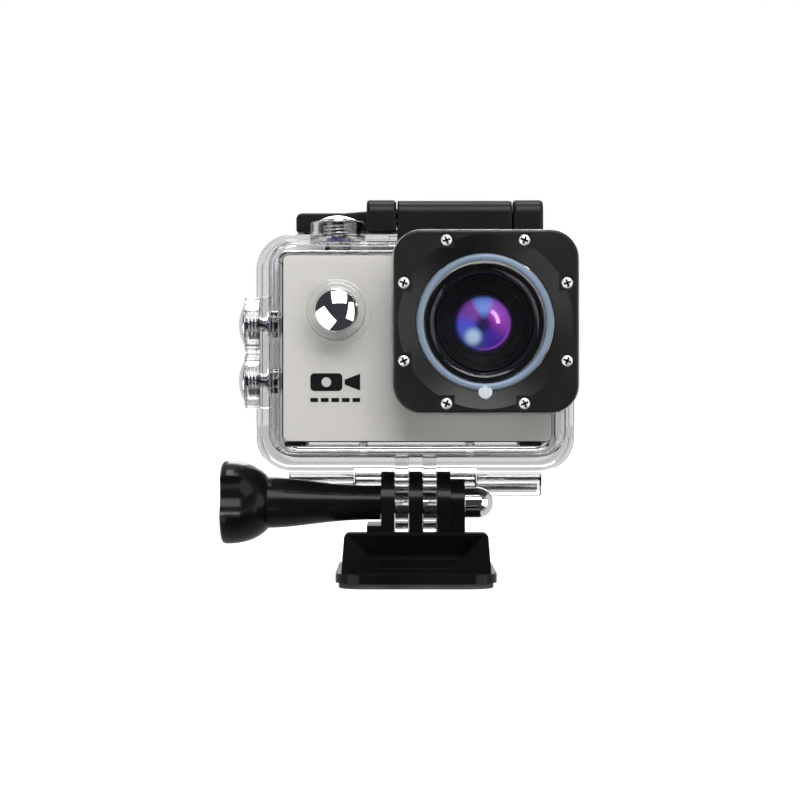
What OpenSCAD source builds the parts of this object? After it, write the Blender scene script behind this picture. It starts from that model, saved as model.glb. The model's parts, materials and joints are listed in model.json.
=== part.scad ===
// Action camera in a clear dive housing, held by a thumb screw on an adhesive clamp mount.
// Millimetres. +X is to the right seen from the front, +Y is to the back, +Z is up.
// The origin is the centre of the adhesive pad's underside.

/* [Camera] */
// Width of the camera body
cam_w = 59.3; // [58.5:0.1:60]
// Height of the camera body
cam_h = 41.1; // [40.5:0.1:41.5]
// Thickness of the camera body without its lens
cam_d = 21.5; // [21:0.1:22]

/* [Housing] */
// Wall thickness of the clear shell
wall = 2.0; // [1.8:0.1:2.2]
// Clearance between the camera and the shell
cam_gap = 0.8; // [0.7:0.1:0.9]
// Radius of the flange's outer corners
flange_r = 8; // [7:0.5:10]
// Radius of the chrome cap of each push button
cap_r = 4.2; // [3.8:0.1:4.3]
// How far each push button travels
button_travel = 1.2; // [0.8:0.1:1.2]

/* [Lens port] */
// Width of the square lens bezel
bezel_w = 39.4; // [39:0.1:39.8]
// Height of the square lens bezel
bezel_h = 38.9; // [38.5:0.1:39.3]
// Radius of the bezel's opening
bezel_open_r = 14.7; // [14.5:0.1:14.9]

/* [Mount] */
// Height of the thumb screw's axis above the surface
axis_z = 17.75; // [17.7:0.05:18]
// Radius of the rounded prongs
prong_r = 7; // [6.6:0.1:7.2]
// Thickness of each prong
prong_t = 3.0; // [2.9:0.05:3.0]
// Radius of the thumb screw's steel bolt
bolt_r = 2.5; // [2.4:0.05:2.5]
// Largest radius of the thumb knob
knob_r = 9.3; // [8.8:0.1:9.5]

/* [Hidden] */
$fn = 64;
E = 0.01;             // overcut, so that a cut passes its face
RUN = 0.05;           // radial clearance of a shaft in its bore
SIDE = 0.1;           // side clearance between neighbouring prongs

// Mount
pitch = prong_t + 3.2;               // spacing of the buckle's prongs
pad_t = 1.2;                         // adhesive pad
foot = [35, 42, 2.0];                // the base's foot plate
floor_z = pad_t + foot[2];           // top of the foot plate
rail_in = 12.1;                      // inner face of the base's rails
rail_out = 15.4;
rail_top = 9.6;
lip_in = 10.95;                      // the rails' lips hold the buckle down
lip_z = 7.6;
front_y = -18;                       // front face of the base
stop_y = -13;                        // the channel's closed end
rail_end = 16;
base_top = 12;
base_half = [16.2, 15.6];            // half width at the foot and at the top edge
scoop_half = [14.8, 7.4];            // half width of the front scoop at its top and bottom
tongue_z = [floor_z + 0.5, 7.4];
platform = [10.8, 9, 13];            // half width, half depth, top
slot_z = 10.4;                       // bottom of the slots between the prongs
boss_x = 10.9;                       // outer face of the nut boss
boss_r = 5.4;
nut_af = 8;
nut_r = nut_af / 2 / cos(30);
nut_x0 = 7.9;
dome_r = 3.4;
dome_x = 13.9;
bolt_x = [-30, 15];
clip_x = 10.5;                       // vertical axis of each release clip
clip_z = [tongue_z[0] + 0.1, 7.3];
clip_top = 9.4;                      // top of the clips' finger pads
shank_x = [-32.9, -7.8];
knob_x = -43.3;

// Camera
cam_cx = 0.3;
foot_h = 0.85;
foot_x = [[-28.9, -24.1], [22.9, 27.6]];
cam_z0 = axis_z + 13.65;
cam_cz = cam_z0 + cam_h / 2;
cam_top = cam_z0 + cam_h;
cam_y0 = -10.5;
cam_y1 = cam_y0 + cam_d;
cam_x0 = cam_cx - cam_w / 2;
panel_t = 1.8;
skin = 1.5;                          // walls of the camera's frame
cam_r = 1.7;                         // its corners, seen from the front
cover_y = cam_y1 - 3.5;              // where the back cover starts
lens = [14.7, cam_z0 + 25.9];        // lens axis, X and Z
power = [-17.35, cam_z0 + 28.6];     // front button axis, X and Z
side_y = -1;                         // depth of the top and side buttons
side_z = [cam_z0 + 26, cam_z0 + 13.5];
key_r = [4.2, 3.0, 2.2];             // the camera's own keys: power, shutter, side

// Housing
in_x = [cam_x0 - cam_gap, cam_cx + cam_w / 2 + cam_gap];
in_z = [cam_z0 - foot_h - 0.25, cam_top + cam_gap];
in_y = cam_y0 - cam_gap;
in_c = [(in_x[0] + in_x[1]) / 2, (in_z[0] + in_z[1]) / 2];
in_s = [in_x[1] - in_x[0], in_z[1] - in_z[0]];
in_r = 2.0;
out_r = 5.5;
out_y = in_y - wall;
out_top = in_z[1] + wall;
out_bot = in_z[0] - wall;
out_left = in_x[0] - wall;
fl_c = [0, 51.35];                   // centre of the flange, X and Z
fl_s = [72.3, 54.1];
shell_fl_y = [7.6, 10.4];
door_y = [10.6, 13.3];
door_back = 16.2;
door_in = 14.2;                      // inner face of the door's back wall
gasket_in = 1.0;                     // gasket's distance from the cavity's edge
gasket_w = 1.6;
gasket_y = [10.45, 12];
hinge = [14, axis_z + 3.15];         // door hinge axis, Y and Z
hinge_r = 2.3;
pin_r = 1.0;
knuckle_x = 14;                      // where the shell's knuckle meets the door's
hinge_end = 28.9;

// Lens port
port_y = -21.5;                      // the bezel's back face
bezel_y = -24.3;                     // the bezel's front face
bezel_r = 6;
port_end = -8.5;                     // how far back the port's block runs
dish_r = 18.6;
dish_d = 1.9;
port_c = [14.8, lens[1] + 0.1];
port_bore = 13.6;
glass_r = 14.65;
glass_t = 2.0;
seal_in = 13.05;
screw_near = 8.3;
screw_far = 17.4;
screw_r = 1.3;

// Push buttons, measured outward from the floor of a button's well
well_r = 4.5;
collar_r = 6.2;
collar_h = 3.45;
stem_r = 1.5;
cap_low = 3.0;                       // the cap's underside
cap_edge = 0.8;
cap_top = 4.9;
tip_gap = 0.1;                       // stem's tip beyond the shell's inner face
side_floor = -34.5;
top_floor = 76.85;
front_floor = out_y - 0.6;
side_t = in_x[0] - side_floor;       // wall that each stem crosses
top_t = top_floor - in_z[1];
front_t = in_y - front_floor;
clip_t = 0.42;                       // retaining clip that snaps round the stem
clip_rest = button_travel - 0.5;     // its height above the shell's inner face
clip_room = 3.0;                     // radius of the recess round it
coil_r = 3.1;
wire_r = 0.28;
key_gap = 0.3;                       // key's face beyond the shell's inner face
// The front button is flatter than the others.
front_well = 5.2;
front_cap = [4.85, 2.2, 4.4];        // radius, underside and top
front_step = [7.6, 0.5];             // low step round its collar: radius and height
front_collar = [6.4, 2.6];

// Latch
latch = [-3, 82.2];                  // latch axis, Y and Z
latch_r = 2.95;
block_x = [-4.1, 21.3];
block_screw_x = [-0.1, 17.3];
lever_x = [-10.9, 28.2];
tab_x = -27;
lever_top = 83;
lever_under = 78.7;
rib = [12.4, 80.4, 15.2, 78.8];      // door rib's slope: top edge, then foot, Y and Z
rib_x = [-6, 24];
hook_gap = 0.22;
latch_side = 0.2;                    // gap between the lever's knuckles and the bearing block

// ---- shapes that repeat ----

// Points along an arc about [x, y].
function arc(x, y, r, from, to, n = 8) =
  [for (i = [0:n]) let (a = from + (to - from) * i / n) [x + r * cos(a), y + r * sin(a)]];

function smooth(t) = 3 * t * t - 2 * t * t * t;

// The section radius of the O-ring in a wall t thick, and the depths of its groove.
function seal_r(t) = t < 3 ? 0.4 : 0.55;
function groove(t) = let (d = t > 4 ? 1.6 : 0.25) [d, d + 2 * seal_r(t) + 0.1];

// A rectangle with round corners, centred.
module rounded(w, h, r) {
  square([w - 2 * r, h], center = true);
  square([w, h - 2 * r], center = true);
  for (x = [-1, 1], y = [-1, 1])
    translate([x * (w / 2 - r), y * (h / 2 - r)]) circle(r);
}

// Extrudes a flat shape drawn in X and Z from depth y0 to y1.
module along_y(y0, y1) {
  translate([0, y1, 0]) rotate([90, 0, 0]) linear_extrude(y1 - y0) children();
}

// A rounded plate in X and Z, from depth y0 to y1.
module plate(c, s, r, y0, y1) {
  along_y(y0, y1) translate(c) rounded(s[0], s[1], r);
}

module rod_y(r, y0, y1, c) {
  translate([c[0], y1, c[1]]) rotate([90, 0, 0]) cylinder(r = r, h = y1 - y0);
}

module rod_x(r, x0, x1, c) {
  translate([x0, c[0], c[1]]) rotate([0, 90, 0]) cylinder(r = r, h = x1 - x0);
}

// A turned shape about a line along X. Each point is [radius, X].
module turned_x(points, c) {
  translate([0, c[0], c[1]]) rotate([0, 90, 0]) rotate_extrude() polygon(points);
}

// A turned shape about a line along Y. Each point is [radius, distance towards the front].
module turned_y(points, c) {
  translate([c[0], 0, c[1]]) rotate([90, 0, 0]) rotate_extrude() polygon(points);
}

// An extrusion along X of a shape drawn in Y and Z.
module along_x(x0, x1) {
  translate([x0, 0, 0]) rotate([90, 0, 90]) linear_extrude(x1 - x0) children();
}

// A box from its lowest to its highest corner.
module box(a, b) {
  translate(a) cube(b - a);
}

// Moves a push button's axis from +Z with its well's floor at 0 to where each button is.
module at_front() {
  translate([power[0], front_floor, power[1]]) rotate([90, 0, 0]) children();
}
module at_top() {
  translate([power[0], side_y, top_floor]) children();
}
module at_side(i) {
  translate([side_floor, side_y, side_z[i]]) rotate([0, -90, 0]) children();
}

// ---- clamp mount ----

// A corner of the front block, rounded by r.
function corner(x, z, r, from, to) = arc(x, z, r, from, to, 6);

module scoop() {
  intersection() {
    along_x(-base_top * 2, base_top * 2)
      polygon([[front_y - 1, 11.4], [front_y + 0.2, 11.4], [-14.3, 7.0], [-14.3, 6.3],
               [front_y, 4.3], [front_y - 1, 4.3]]);
    along_y(front_y - 2, stop_y)
      polygon([[-scoop_half[0], 11.7], [scoop_half[0], 11.7], [scoop_half[1], 4.1], [-scoop_half[1], 4.1]]);
  }
}

module base_mount() {
  w0 = base_half[0];
  w1 = base_half[1];
  color("#161617") difference() {
    union() {
      translate([0, 0, pad_t]) linear_extrude(foot[2]) rounded(foot[0], foot[1], 6);
      along_y(front_y, stop_y)
        polygon(concat([[-w0, floor_z - E], [w0, floor_z - E]],
                       corner(w1 - 1.2, base_top - 1.2, 1.2, 0, 90),
                       corner(-w1 + 1.2, base_top - 1.2, 1.2, 90, 180)));
      for (side = [-1, 1]) {
        x = side > 0 ? [rail_in, rail_out] : [-rail_out, -rail_in];
        lip = side > 0 ? [lip_in, rail_out] : [-rail_out, -lip_in];
        box([x[0], stop_y - E, floor_z - E], [x[1], rail_end, rail_top]);
        box([lip[0], stop_y - E, lip_z], [lip[1], rail_end, rail_top]);
      }
      box([-rail_in, stop_y - E, floor_z - E], [rail_in, rail_end, floor_z + 0.4]);
    }
    scoop();
    for (side = [-1, 1])
      translate([side * (rail_in + 0.7), 11.5, 5.6]) cube([1.4 + 2 * E, 3, 3.6], center = true);
  }
}

module adhesive_pad() {
  color("#3b3d40") linear_extrude(pad_t) rounded(foot[0] - 1.5, foot[1] - 1.5, 5.5);
}

// A prong with a round top: X from x0 to x1, down to z.
module prong(x0, x1, r, z) {
  rod_x(r, x0, x1, [0, axis_z]);
  box([x0, -r, z], [x1, r, axis_z]);
}

module mount_buckle() {
  px = platform[0];
  py = platform[1];
  color("#131314") difference() {
    union() {
      box([-11.9, stop_y + 0.2, tongue_z[0]], [11.9, -0.25, tongue_z[1]]);
      box([-6.2, -1, tongue_z[0]], [6.2, 15, tongue_z[1]]);
      difference() {
        box([-px, -py, tongue_z[1] - E], [px, py, platform[2]]);
        for (side = [-1, 1])
          box([side * pitch / 2 - prong_t / 2 - SIDE, -py - 1, slot_z],
              [side * pitch / 2 + prong_t / 2 + SIDE, py + 1, platform[2] + 1]);
      }
      for (i = [-1:1])
        prong(i * pitch - prong_t / 2, i * pitch + prong_t / 2, prong_r, slot_z);
      prong(pitch + prong_t / 2 - E, boss_x, boss_r, platform[2] - E);
    }
    rod_x(bolt_r + RUN, -20, 20, [0, axis_z]);
    translate([nut_x0, 0, axis_z]) rotate([0, 90, 0]) cylinder(r = nut_r + 0.05, h = 10, $fn = 6);
    for (side = [-1, 1])
      translate([side * clip_x, 0, tongue_z[0] - 1]) cylinder(r = 1.35, h = tongue_z[1] - tongue_z[0] + 1);
  }
}

module cap_nut() {
  color("#c9ccd0") difference() {
    union() {
      translate([nut_x0, 0, axis_z]) rotate([0, 90, 0]) cylinder(r = nut_r, h = boss_x - nut_x0, $fn = 6);
      turned_x(concat([[0, nut_x0 + 1], [dome_r, nut_x0 + 1]],
                      [for (p = arc(0, 0, dome_r, 0, 90, 12)) [p[0], dome_x + p[1]]]), [0, axis_z]);
    }
    rod_x(bolt_r + RUN, nut_x0 - 1, bolt_x[1] + 0.4, [0, axis_z]);
  }
}

// The right-hand release clip: an arm, a barb and a ribbed finger pad.
module clip() {
  z0 = clip_z[0];
  z1 = clip_z[1];
  color("#131314") difference() {
    union() {
      translate([clip_x, 0, z0]) cylinder(r = 1.3, h = z1 - z0);
      box([clip_x - 1.1, 0, z0], [clip_x + 1.2, 20, z1]);
      translate([0, 0, z0])
        linear_extrude(z1 - z0) polygon([[11.6, 10.3], [12.9, 12.2], [12.9, 12.7], [11.6, 12.7]]);
      translate([0, 0, z0]) linear_extrude(clip_top - z0)
        polygon([[9.4, 17.4], [13.4, 17.4], [14.7, 18.6], [14.7, 21.4], [13.9, 22.4], [9.4, 22.4]]);
    }
    for (i = [0:2])
      grip_groove(0.35, z0 + 1.2 + i * 1.6);
  }
}

// A grip groove across a finger pad at height z.
module grip_groove(r, z) {
  translate([14.85, 16.5, z]) rotate([-90, 0, 0]) cylinder(r = r, h = 7);
}

module clip_right() { clip(); }
module clip_left() { mirror([1, 0, 0]) clip(); }

function shank_r(x) =
  3.85 + 1.85 * smooth(pow((shank_x[1] - x) / (shank_x[1] - shank_x[0]), 1.3));

// Rounded shoulder from the knob's rim down to the shank.
function shoulder_r(t) = 5.65 + (knob_r - 5.65) * pow(1 - t * t, 0.8);

module thumb_knob() {
  shoulder_x = knob_x + 1.8;
  length = shank_x[0] - shoulder_x;
  scoop_r = 6.2;
  scoop_far = 12.1;
  scoop_end = knob_x + 4.1;
  color("#111112") difference() {
    turned_x(concat(
      [[0, knob_x], [knob_r - 0.9, knob_x], [knob_r - 0.25, knob_x + 0.4], [knob_r, knob_x + 1.1]],
      [for (i = [0:11]) [shoulder_r(i / 12), shoulder_x + length * i / 12]],
      [for (i = [12:-1:0]) let (x = shank_x[1] - (shank_x[1] - shank_x[0]) * i / 12) [shank_r(x), x]],
      [[0, shank_x[1]]]), [0, axis_z]);
    for (a = [168:120:408])
      translate([0, scoop_far * cos(a), axis_z + scoop_far * sin(a)]) {
        rod_x(scoop_r, knob_x - 1, scoop_end, [0, 0]);
        translate([scoop_end, 0, 0]) sphere(scoop_r);
      }
    rod_x(bolt_r, bolt_x[0], 0, [0, axis_z]);
  }
}

module thumb_bolt() {
  color("#8d9095")
    turned_x([[0, bolt_x[0]], [bolt_r, bolt_x[0]], [bolt_r, bolt_x[1] - 0.5],
              [bolt_r - 0.5, bolt_x[1]], [0, bolt_x[1]]], [0, axis_z]);
}

// ---- push buttons, drawn along +Z with the well's floor at 0 ----

module collar(r_out, h, floor_t) {
  difference() {
    union() {
      translate([0, 0, -floor_t]) cylinder(r = r_out, h = h + floor_t - 0.4);
      translate([0, 0, h - 0.4 - E]) cylinder(r1 = r_out, r2 = r_out - 0.4, h = 0.4 + E);
    }
    children();
  }
}

// What a push button removes from the shell, whose wall is t thick there.
module button_bore(t, r = well_r) {
  cylinder(r = r, h = 10);
  translate([0, 0, -t - 1]) cylinder(r = stem_r + RUN, h = t + 2);
  translate([0, 0, -groove(t)[1]])
    cylinder(r = stem_r + 0.1 + 2 * seal_r(t), h = groove(t)[1] - groove(t)[0]);
  translate([0, 0, -t - 1]) cylinder(r = clip_room, h = 1 + clip_rest + clip_t + 0.03);
}

// The domed part of a cap of radius r, from its edge up to its top.
function dome(r, edge, top) =
  let (rise = top - edge, ball = (r * r + rise * rise) / (2 * rise))
  [for (i = [0:9]) let (a = asin(r / ball) * (1 - i / 9)) [ball * sin(a), top - ball + ball * cos(a)]];

// Chrome cap with its stem, which crosses a wall t thick. A neck in the stem takes the clip.
module plunger(t, r = cap_r, low = cap_low, top = cap_top) {
  tip = -t - tip_gap;
  neck = -t + clip_rest;
  color("#d4d6d9") rotate_extrude()
    polygon(concat([[0, tip], [stem_r, tip], [stem_r, neck], [stem_r - 0.35, neck],
                    [stem_r - 0.35, neck + clip_t], [stem_r, neck + clip_t],
                    [stem_r, low], [r, low]], dome(r, low + cap_edge, top)));
}

module stem_clip(t) {
  color("#7d8085") translate([0, 0, -t + clip_rest]) difference() {
    cylinder(r = 2.6, h = clip_t);
    translate([0, 0, -1]) cylinder(r = stem_r - 0.35, h = 3);
  }
}

module seal_ring(t) {
  color("#1d1d2b") rotate_extrude()
    translate([stem_r + 0.02 + seal_r(t), -(groove(t)[0] + groove(t)[1]) / 2])
      circle(r = seal_r(t), $fn = 24);
}

// Compression spring between the well's floor and the cap, as a round wire swept along a helix.
module coil_spring(radius = coil_r, height = cap_low, turns = 3.1) {
  sides = 8;
  rings = ceil(turns * 16);
  z0 = wire_r + 0.02;
  rise = height - 2 * z0;
  points = [for (i = [0:rings], k = [0:sides - 1])
    let (a = 360 * turns * i / rings, b = 360 * k / sides, r = radius + wire_r * cos(b))
    [r * cos(a), r * sin(a), z0 + rise * i / rings + wire_r * sin(b)]];
  walls = [for (i = [0:rings - 1], k = [0:sides - 1])
    let (n = (k + 1) % sides)
    [i * sides + k, i * sides + n, (i + 1) * sides + n, (i + 1) * sides + k]];
  ends = [[for (k = [sides - 1:-1:0]) k], [for (k = [0:sides - 1]) rings * sides + k]];
  color("#b9bcc0") polyhedron(points, concat(walls, ends), convexity = 6);
}

module front_button() { at_front() plunger(front_t, front_cap[0], front_cap[1], front_cap[2]); }
module top_button() { at_top() plunger(top_t); }
module upper_side_button() { at_side(0) plunger(side_t); }
module lower_side_button() { at_side(1) plunger(side_t); }
module front_button_clip() { at_front() stem_clip(front_t); }
module top_button_clip() { at_top() stem_clip(top_t); }
module upper_side_clip() { at_side(0) stem_clip(side_t); }
module lower_side_clip() { at_side(1) stem_clip(side_t); }
module front_button_spring() { at_front() coil_spring(3.6, front_cap[1], 1.6); }
module top_button_spring() { at_top() coil_spring(); }
module upper_side_spring() { at_side(0) coil_spring(); }
module lower_side_spring() { at_side(1) coil_spring(); }

module button_seals() {
  at_front() seal_ring(front_t);
  at_top() seal_ring(top_t);
  for (i = [0, 1]) at_side(i) seal_ring(side_t);
}

// ---- clear housing ----

// Two clear fingers that stand between the buckle's prongs.
module fingers() {
  for (side = [-1, 1]) {
    x = side * pitch / 2;
    rod_x(prong_r, x - prong_t / 2, x + prong_t / 2, [0, axis_z]);
    box([x - prong_t / 2, -prong_r, axis_z], [x + prong_t / 2, prong_r, out_bot + 0.5]);
  }
}

// Hinge knuckle round the pin, with a web up to the flange at depths y0 to y1.
module knuckle(x0, x1, y0, y1) {
  edge = fl_c[1] - fl_s[1] / 2;
  rod_x(hinge_r, x0, x1, hinge);
  along_x(x0, x1)
    polygon([[y0, edge + 1], [y1, edge + 1], [y1, edge - 0.5],
             [max(y1, hinge[0]), hinge[1] + hinge_r - 0.2], hinge, [hinge[0] - hinge_r, hinge[1]]]);
}

module front_shell() {
  color([0.86, 0.9, 0.92, 0.3]) {
    difference() {
      union() {
        plate(in_c, in_s + [2 * wall, 2 * wall], out_r, out_y, shell_fl_y[1]);
        plate(fl_c, fl_s, flange_r, shell_fl_y[0], shell_fl_y[1]);
        plate(port_c, [bezel_w + 0.7, bezel_h + 0.7], bezel_r + 0.4, port_y, port_end);
        at_front() collar(front_step[0], front_step[1], 1.5);
        at_front() collar(front_collar[0], front_collar[1], 1.5);
        at_top() collar(collar_r, collar_h, 3);
        for (i = [0, 1]) at_side(i) collar(collar_r, collar_h, 4);
        side_pad();
        fingers();
        knuckle(-knuckle_x + 0.1, knuckle_x - 0.1, shell_fl_y[0], shell_fl_y[1]);
      }
      plate(in_c, in_s, in_r, in_y, shell_fl_y[1] + 1);
      rod_y(port_bore, port_y - 1, in_y + 1, lens);
      rod_y(glass_r + 0.05, port_y - 1, port_y + 1.6, lens);
      at_front() button_bore(front_t, front_well);
      at_top() button_bore(top_t);
      for (i = [0, 1]) at_side(i) button_bore(side_t);
      rod_x(bolt_r + RUN, -10, 10, [0, axis_z]);
      rod_x(pin_r + RUN, -20, 20, hinge);
      bezel_holes(0.8, port_y - 1, port_y + 4.4);
      for (x = block_screw_x)
        translate([x, 0, in_z[1] + 0.5]) cylinder(r = 0.8, h = 5);
    }
    for (x = [-11.6, 12])
      box([x - 0.9, -9, in_z[0] - E], [x + 0.9, 9, cam_z0 - 0.05]);
    box([-12.5, -9, cam_top + 0.05], [-10.7, 9, in_z[1] + E]);
  }
}

// Thickened wall that the side buttons sit in.
module side_pad() {
  z = [side_z[1] - collar_r, side_z[0] + collar_r];
  box([side_floor, side_y - collar_r, z[0]], [out_left + E, side_y + collar_r, z[1]]);
}

// The eight screw places round the lens: two along each side of the bezel.
module screw_places() {
  for (a = [0:90:270], s = [-1, 1])
    translate([lens[0], 0, lens[1]]) rotate([0, a, 0]) translate([s * screw_near, 0, screw_far]) children();
}

module bezel_holes(r, y0, y1) {
  screw_places() rod_y(r, y0, y1, [0, 0]);
}

module window_glass() {
  color([0.85, 0.9, 0.95, 0.25])
    rod_y(glass_r, port_y + 1.6 - glass_t, port_y + 1.6, lens);
}

// Flat seal on the window's rim, with its locating lug at the bottom.
module window_seal() {
  y = [port_y + 1.6 - glass_t - 0.9, port_y + 1.6 - glass_t];
  color("#7f93a8") difference() {
    union() {
      rod_y(glass_r, y[0], y[1], lens);
      rod_y(1.55, y[0], y[1], [lens[0], lens[1] - bezel_open_r - 0.35]);
    }
    rod_y(seal_in, y[0] - 1, y[1] + 1, lens);
  }
}

module lens_bezel() {
  color("#1b1b1d") difference() {
    plate(port_c, [bezel_w, bezel_h], bezel_r, bezel_y, port_y);
    rod_y(bezel_open_r, bezel_y - 1, port_y + 1, lens);
    rod_y(1.6, bezel_y - 1, port_y + 1, [lens[0], lens[1] - bezel_open_r - 0.35]);
    difference() {
      turned_y([[0, -bezel_y + 1], [dish_r, -bezel_y + 1], [dish_r, -bezel_y],
                [bezel_open_r, -bezel_y - dish_d], [0, -bezel_y - dish_d]], lens);
      screw_places() rod_y(2.3, bezel_y - 3, port_y, [0, 0]);
    }
    bezel_holes(0.85, bezel_y - 1, port_y + 1);
    bezel_holes(screw_r + 0.15, bezel_y - 1, bezel_y + 1.1);
  }
}

// Small cross-head screw along Y, with its head's top at depth y.
module cross_screw(r, y, length) {
  difference() {
    union() {
      turned_y(concat([[0, -y - 0.9], [r, -y - 0.9], [r, -y - 0.35]],
                      [[r * 0.8, -y - 0.08], [r * 0.5, -y], [0, -y]]), [0, 0]);
      rod_y(0.75, y + 0.9 - E, y + length, [0, 0]);
    }
    for (a = [0, 90]) rotate([0, a + 20, 0])
      translate([0, y + 0.2, 0]) cube([r * 1.3, 0.7, r * 0.28], center = true);
  }
}

module bezel_screws() {
  color("#c3c6ca") screw_places() cross_screw(screw_r, bezel_y + 0.2, 5.5);
}

// Fixed black bearing block of the latch, screwed to the shell's top wall.
module latch_block() {
  x0 = block_x[0];
  x1 = block_x[1];
  color("#151516") difference() {
    union() {
      rod_x(latch_r - 0.15, x0, x1, latch);
      along_x(x0, x1) polygon([[latch[0] - 2.8, latch[1]], [latch[0] - 2.8, out_top + 0.02],
                               [latch[0] + 5, out_top + 0.02], [latch[0] + 5, out_top + 1.6],
                               [latch[0] + 2.8, out_top + 2.2], [latch[0] + 2.8, latch[1]]]);
    }
    rod_x(pin_r, x0 - 1, x1 + 1, latch);
    for (x = block_screw_x)
      translate([x, 0, out_top - 1]) {
        cylinder(r = 0.85, h = 5);
        translate([0, 0, 1.9]) cylinder(r = 1.7, h = 6);
      }
  }
}

module latch_block_screws() {
  color("#9b9ea3") for (x = block_screw_x)
    translate([x, 0, out_top + 0.92]) {
      difference() {
        rotate_extrude() polygon([[0, 0], [1.5, 0], [1.5, 0.5], [0.9, 0.85], [0, 0.85]]);
        for (a = [0, 90]) rotate([0, 0, a]) translate([0, 0, 0.7]) cube([1.8, 0.4, 0.7], center = true);
      }
      translate([0, 0, -2]) cylinder(r = 0.75, h = 2 + E);
    }
}

module latch_pin() {
  color("#9b9ea3") rod_x(pin_r, lever_x[0] + 1.2, lever_x[1] - 1.2, latch);
}

module hinge_pin() {
  color("#9b9ea3") rod_x(pin_r, -hinge_end + 1, hinge_end - 1, hinge);
}

// One end knuckle of the lever: round on top, square below.
module lever_knuckle(x0, x1) {
  rod_x(latch_r, x0, x1, latch);
  box([x0, latch[0] - latch_r, 77.6], [x1, latch[0] + latch_r, latch[1]]);
  box([x0, latch[0], lever_under + 0.5], [x1, 4, lever_top + 0.6]);
}

module latch_lever() {
  slope = (rib[1] - rib[3]) / (rib[2] - rib[0]);
  face = rib[1] + hook_gap;
  tip = 16.9;
  color("#141415") difference() {
    union() {
      lever_knuckle(lever_x[0], block_x[0] - latch_side);
      lever_knuckle(block_x[1] + latch_side, lever_x[1]);
      along_y(1.5, 17.6)
        polygon(concat(arc(lever_x[0] + 1.5, lever_top - 0.9, 1.5, 180, 90, 6),
                       arc(lever_x[1] - 1.5, lever_top - 0.9, 1.5, 90, 0, 6),
                       [[lever_x[1], lever_under], [lever_x[0], lever_under]]));
      along_y(6, 16)
        polygon(concat([[tab_x, lever_under]],
                       arc(tab_x + 1.3, lever_top - 1.2, 1.2, 180, 90, 6),
                       [[-16, lever_top], [lever_x[0] + 1, lever_top + 0.5], [lever_x[0] + 1, lever_under]]));
    }
    // hollow underside
    box([lever_x[0] + 1.6, latch[0] + latch_r + 1, lever_under - 1],
        [lever_x[1] - 1.6, 16.1, lever_top - 1.8]);
    box([tab_x + 1.6, 7.6, lever_under - 1], [lever_x[0] + 2, 14.4, lever_top - 1.8]);
    // room for the bearing block
    box([block_x[0] - latch_side, latch[0] - 4, 75], [block_x[1] + latch_side, 2.6, lever_top + 3]);
    rod_x(pin_r + RUN, lever_x[0] + 1.2, lever_x[1] - 1.2, latch);
    // room for the door's rib and its slope
    along_x(lever_x[0] - 1, lever_x[1] + 1)
      polygon([[10, lever_under - 2], [10, rib[1] + 0.8], [rib[0] + 0.2, rib[1] + 0.8], [rib[0] + 0.2, face],
               [tip, face - slope * (tip - rib[0] - 0.2)], [tip, lever_under - 2]]);
  }
  // solid hook behind the door's rib
  color("#141415") along_x(rib_x[0] - 1, rib_x[1] + 1)
    polygon([[rib[0] + 0.2, lever_top - 1.8 + E], [rib[0] + 0.2, face],
             [tip, face - slope * (tip - rib[0] - 0.2)], [17.6, face - slope * (tip - rib[0] - 0.2)],
             [17.6, lever_top - 1.8 + E]]);
}

// ---- back door ----

module back_door() {
  top = fl_c[1] + fl_s[1] / 2;
  color([0.86, 0.9, 0.92, 0.3]) difference() {
    union() {
      plate(fl_c, fl_s, flange_r, door_y[0], door_y[1]);
      plate(in_c, in_s + [1.6, 1.6], 5, door_y[1] - E, door_back);
      along_x(rib_x[0], rib_x[1])
        polygon([[11.2, top - 1], [11.2, rib[1]], [rib[0], rib[1]], [rib[2], rib[3]], [rib[2], top - 4.5]]);
      for (side = [-1, 1])
        knuckle(side > 0 ? knuckle_x + 0.1 : -hinge_end, side > 0 ? hinge_end : -knuckle_x - 0.1,
                door_y[0], door_y[1]);
    }
    plate(in_c, in_s, in_r, door_y[0] - 1, door_in);
    gasket_ring(gasket_y[0] - 1, gasket_y[1]);
    for (side = [-1, 1])
      rod_x(pin_r + RUN, side > 0 ? 10 : -hinge_end + 1, side > 0 ? hinge_end - 1 : -10, hinge);
  }
}

module gasket_ring(y0, y1) {
  difference() {
    plate(in_c, in_s + 2 * [gasket_in + gasket_w, gasket_in + gasket_w], 6, y0, y1);
    plate(in_c, in_s + 2 * [gasket_in, gasket_in], 4.4, y0 - 1, y1 + 1);
  }
}

module door_gasket() {
  color("#e9ebec") gasket_ring(gasket_y[0], gasket_y[1]);
}

// Rubber pads in the door's corners that hold the camera forward.
module door_pads() {
  color("#242427") for (x = [-1, 1], z = [-1, 1])
    plate([in_c[0] + x * 25, in_c[1] + z * 17], [6, 5], 1.5, cam_y1 + 0.1, door_in);
}

// ---- camera ----

module camera_front_panel() {
  color("#c9c5be") difference() {
    plate([cam_cx, cam_cz], [cam_w - 0.7, cam_h - 0.5], 1.2, cam_y0, cam_y0 + panel_t);
    rod_y(13, cam_y0 - 1, cam_y0 + panel_t + 1, lens);
    rod_y(key_r[0] + 0.15, cam_y0 - 1, cam_y0 + panel_t + 1, power);
  }
}

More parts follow.
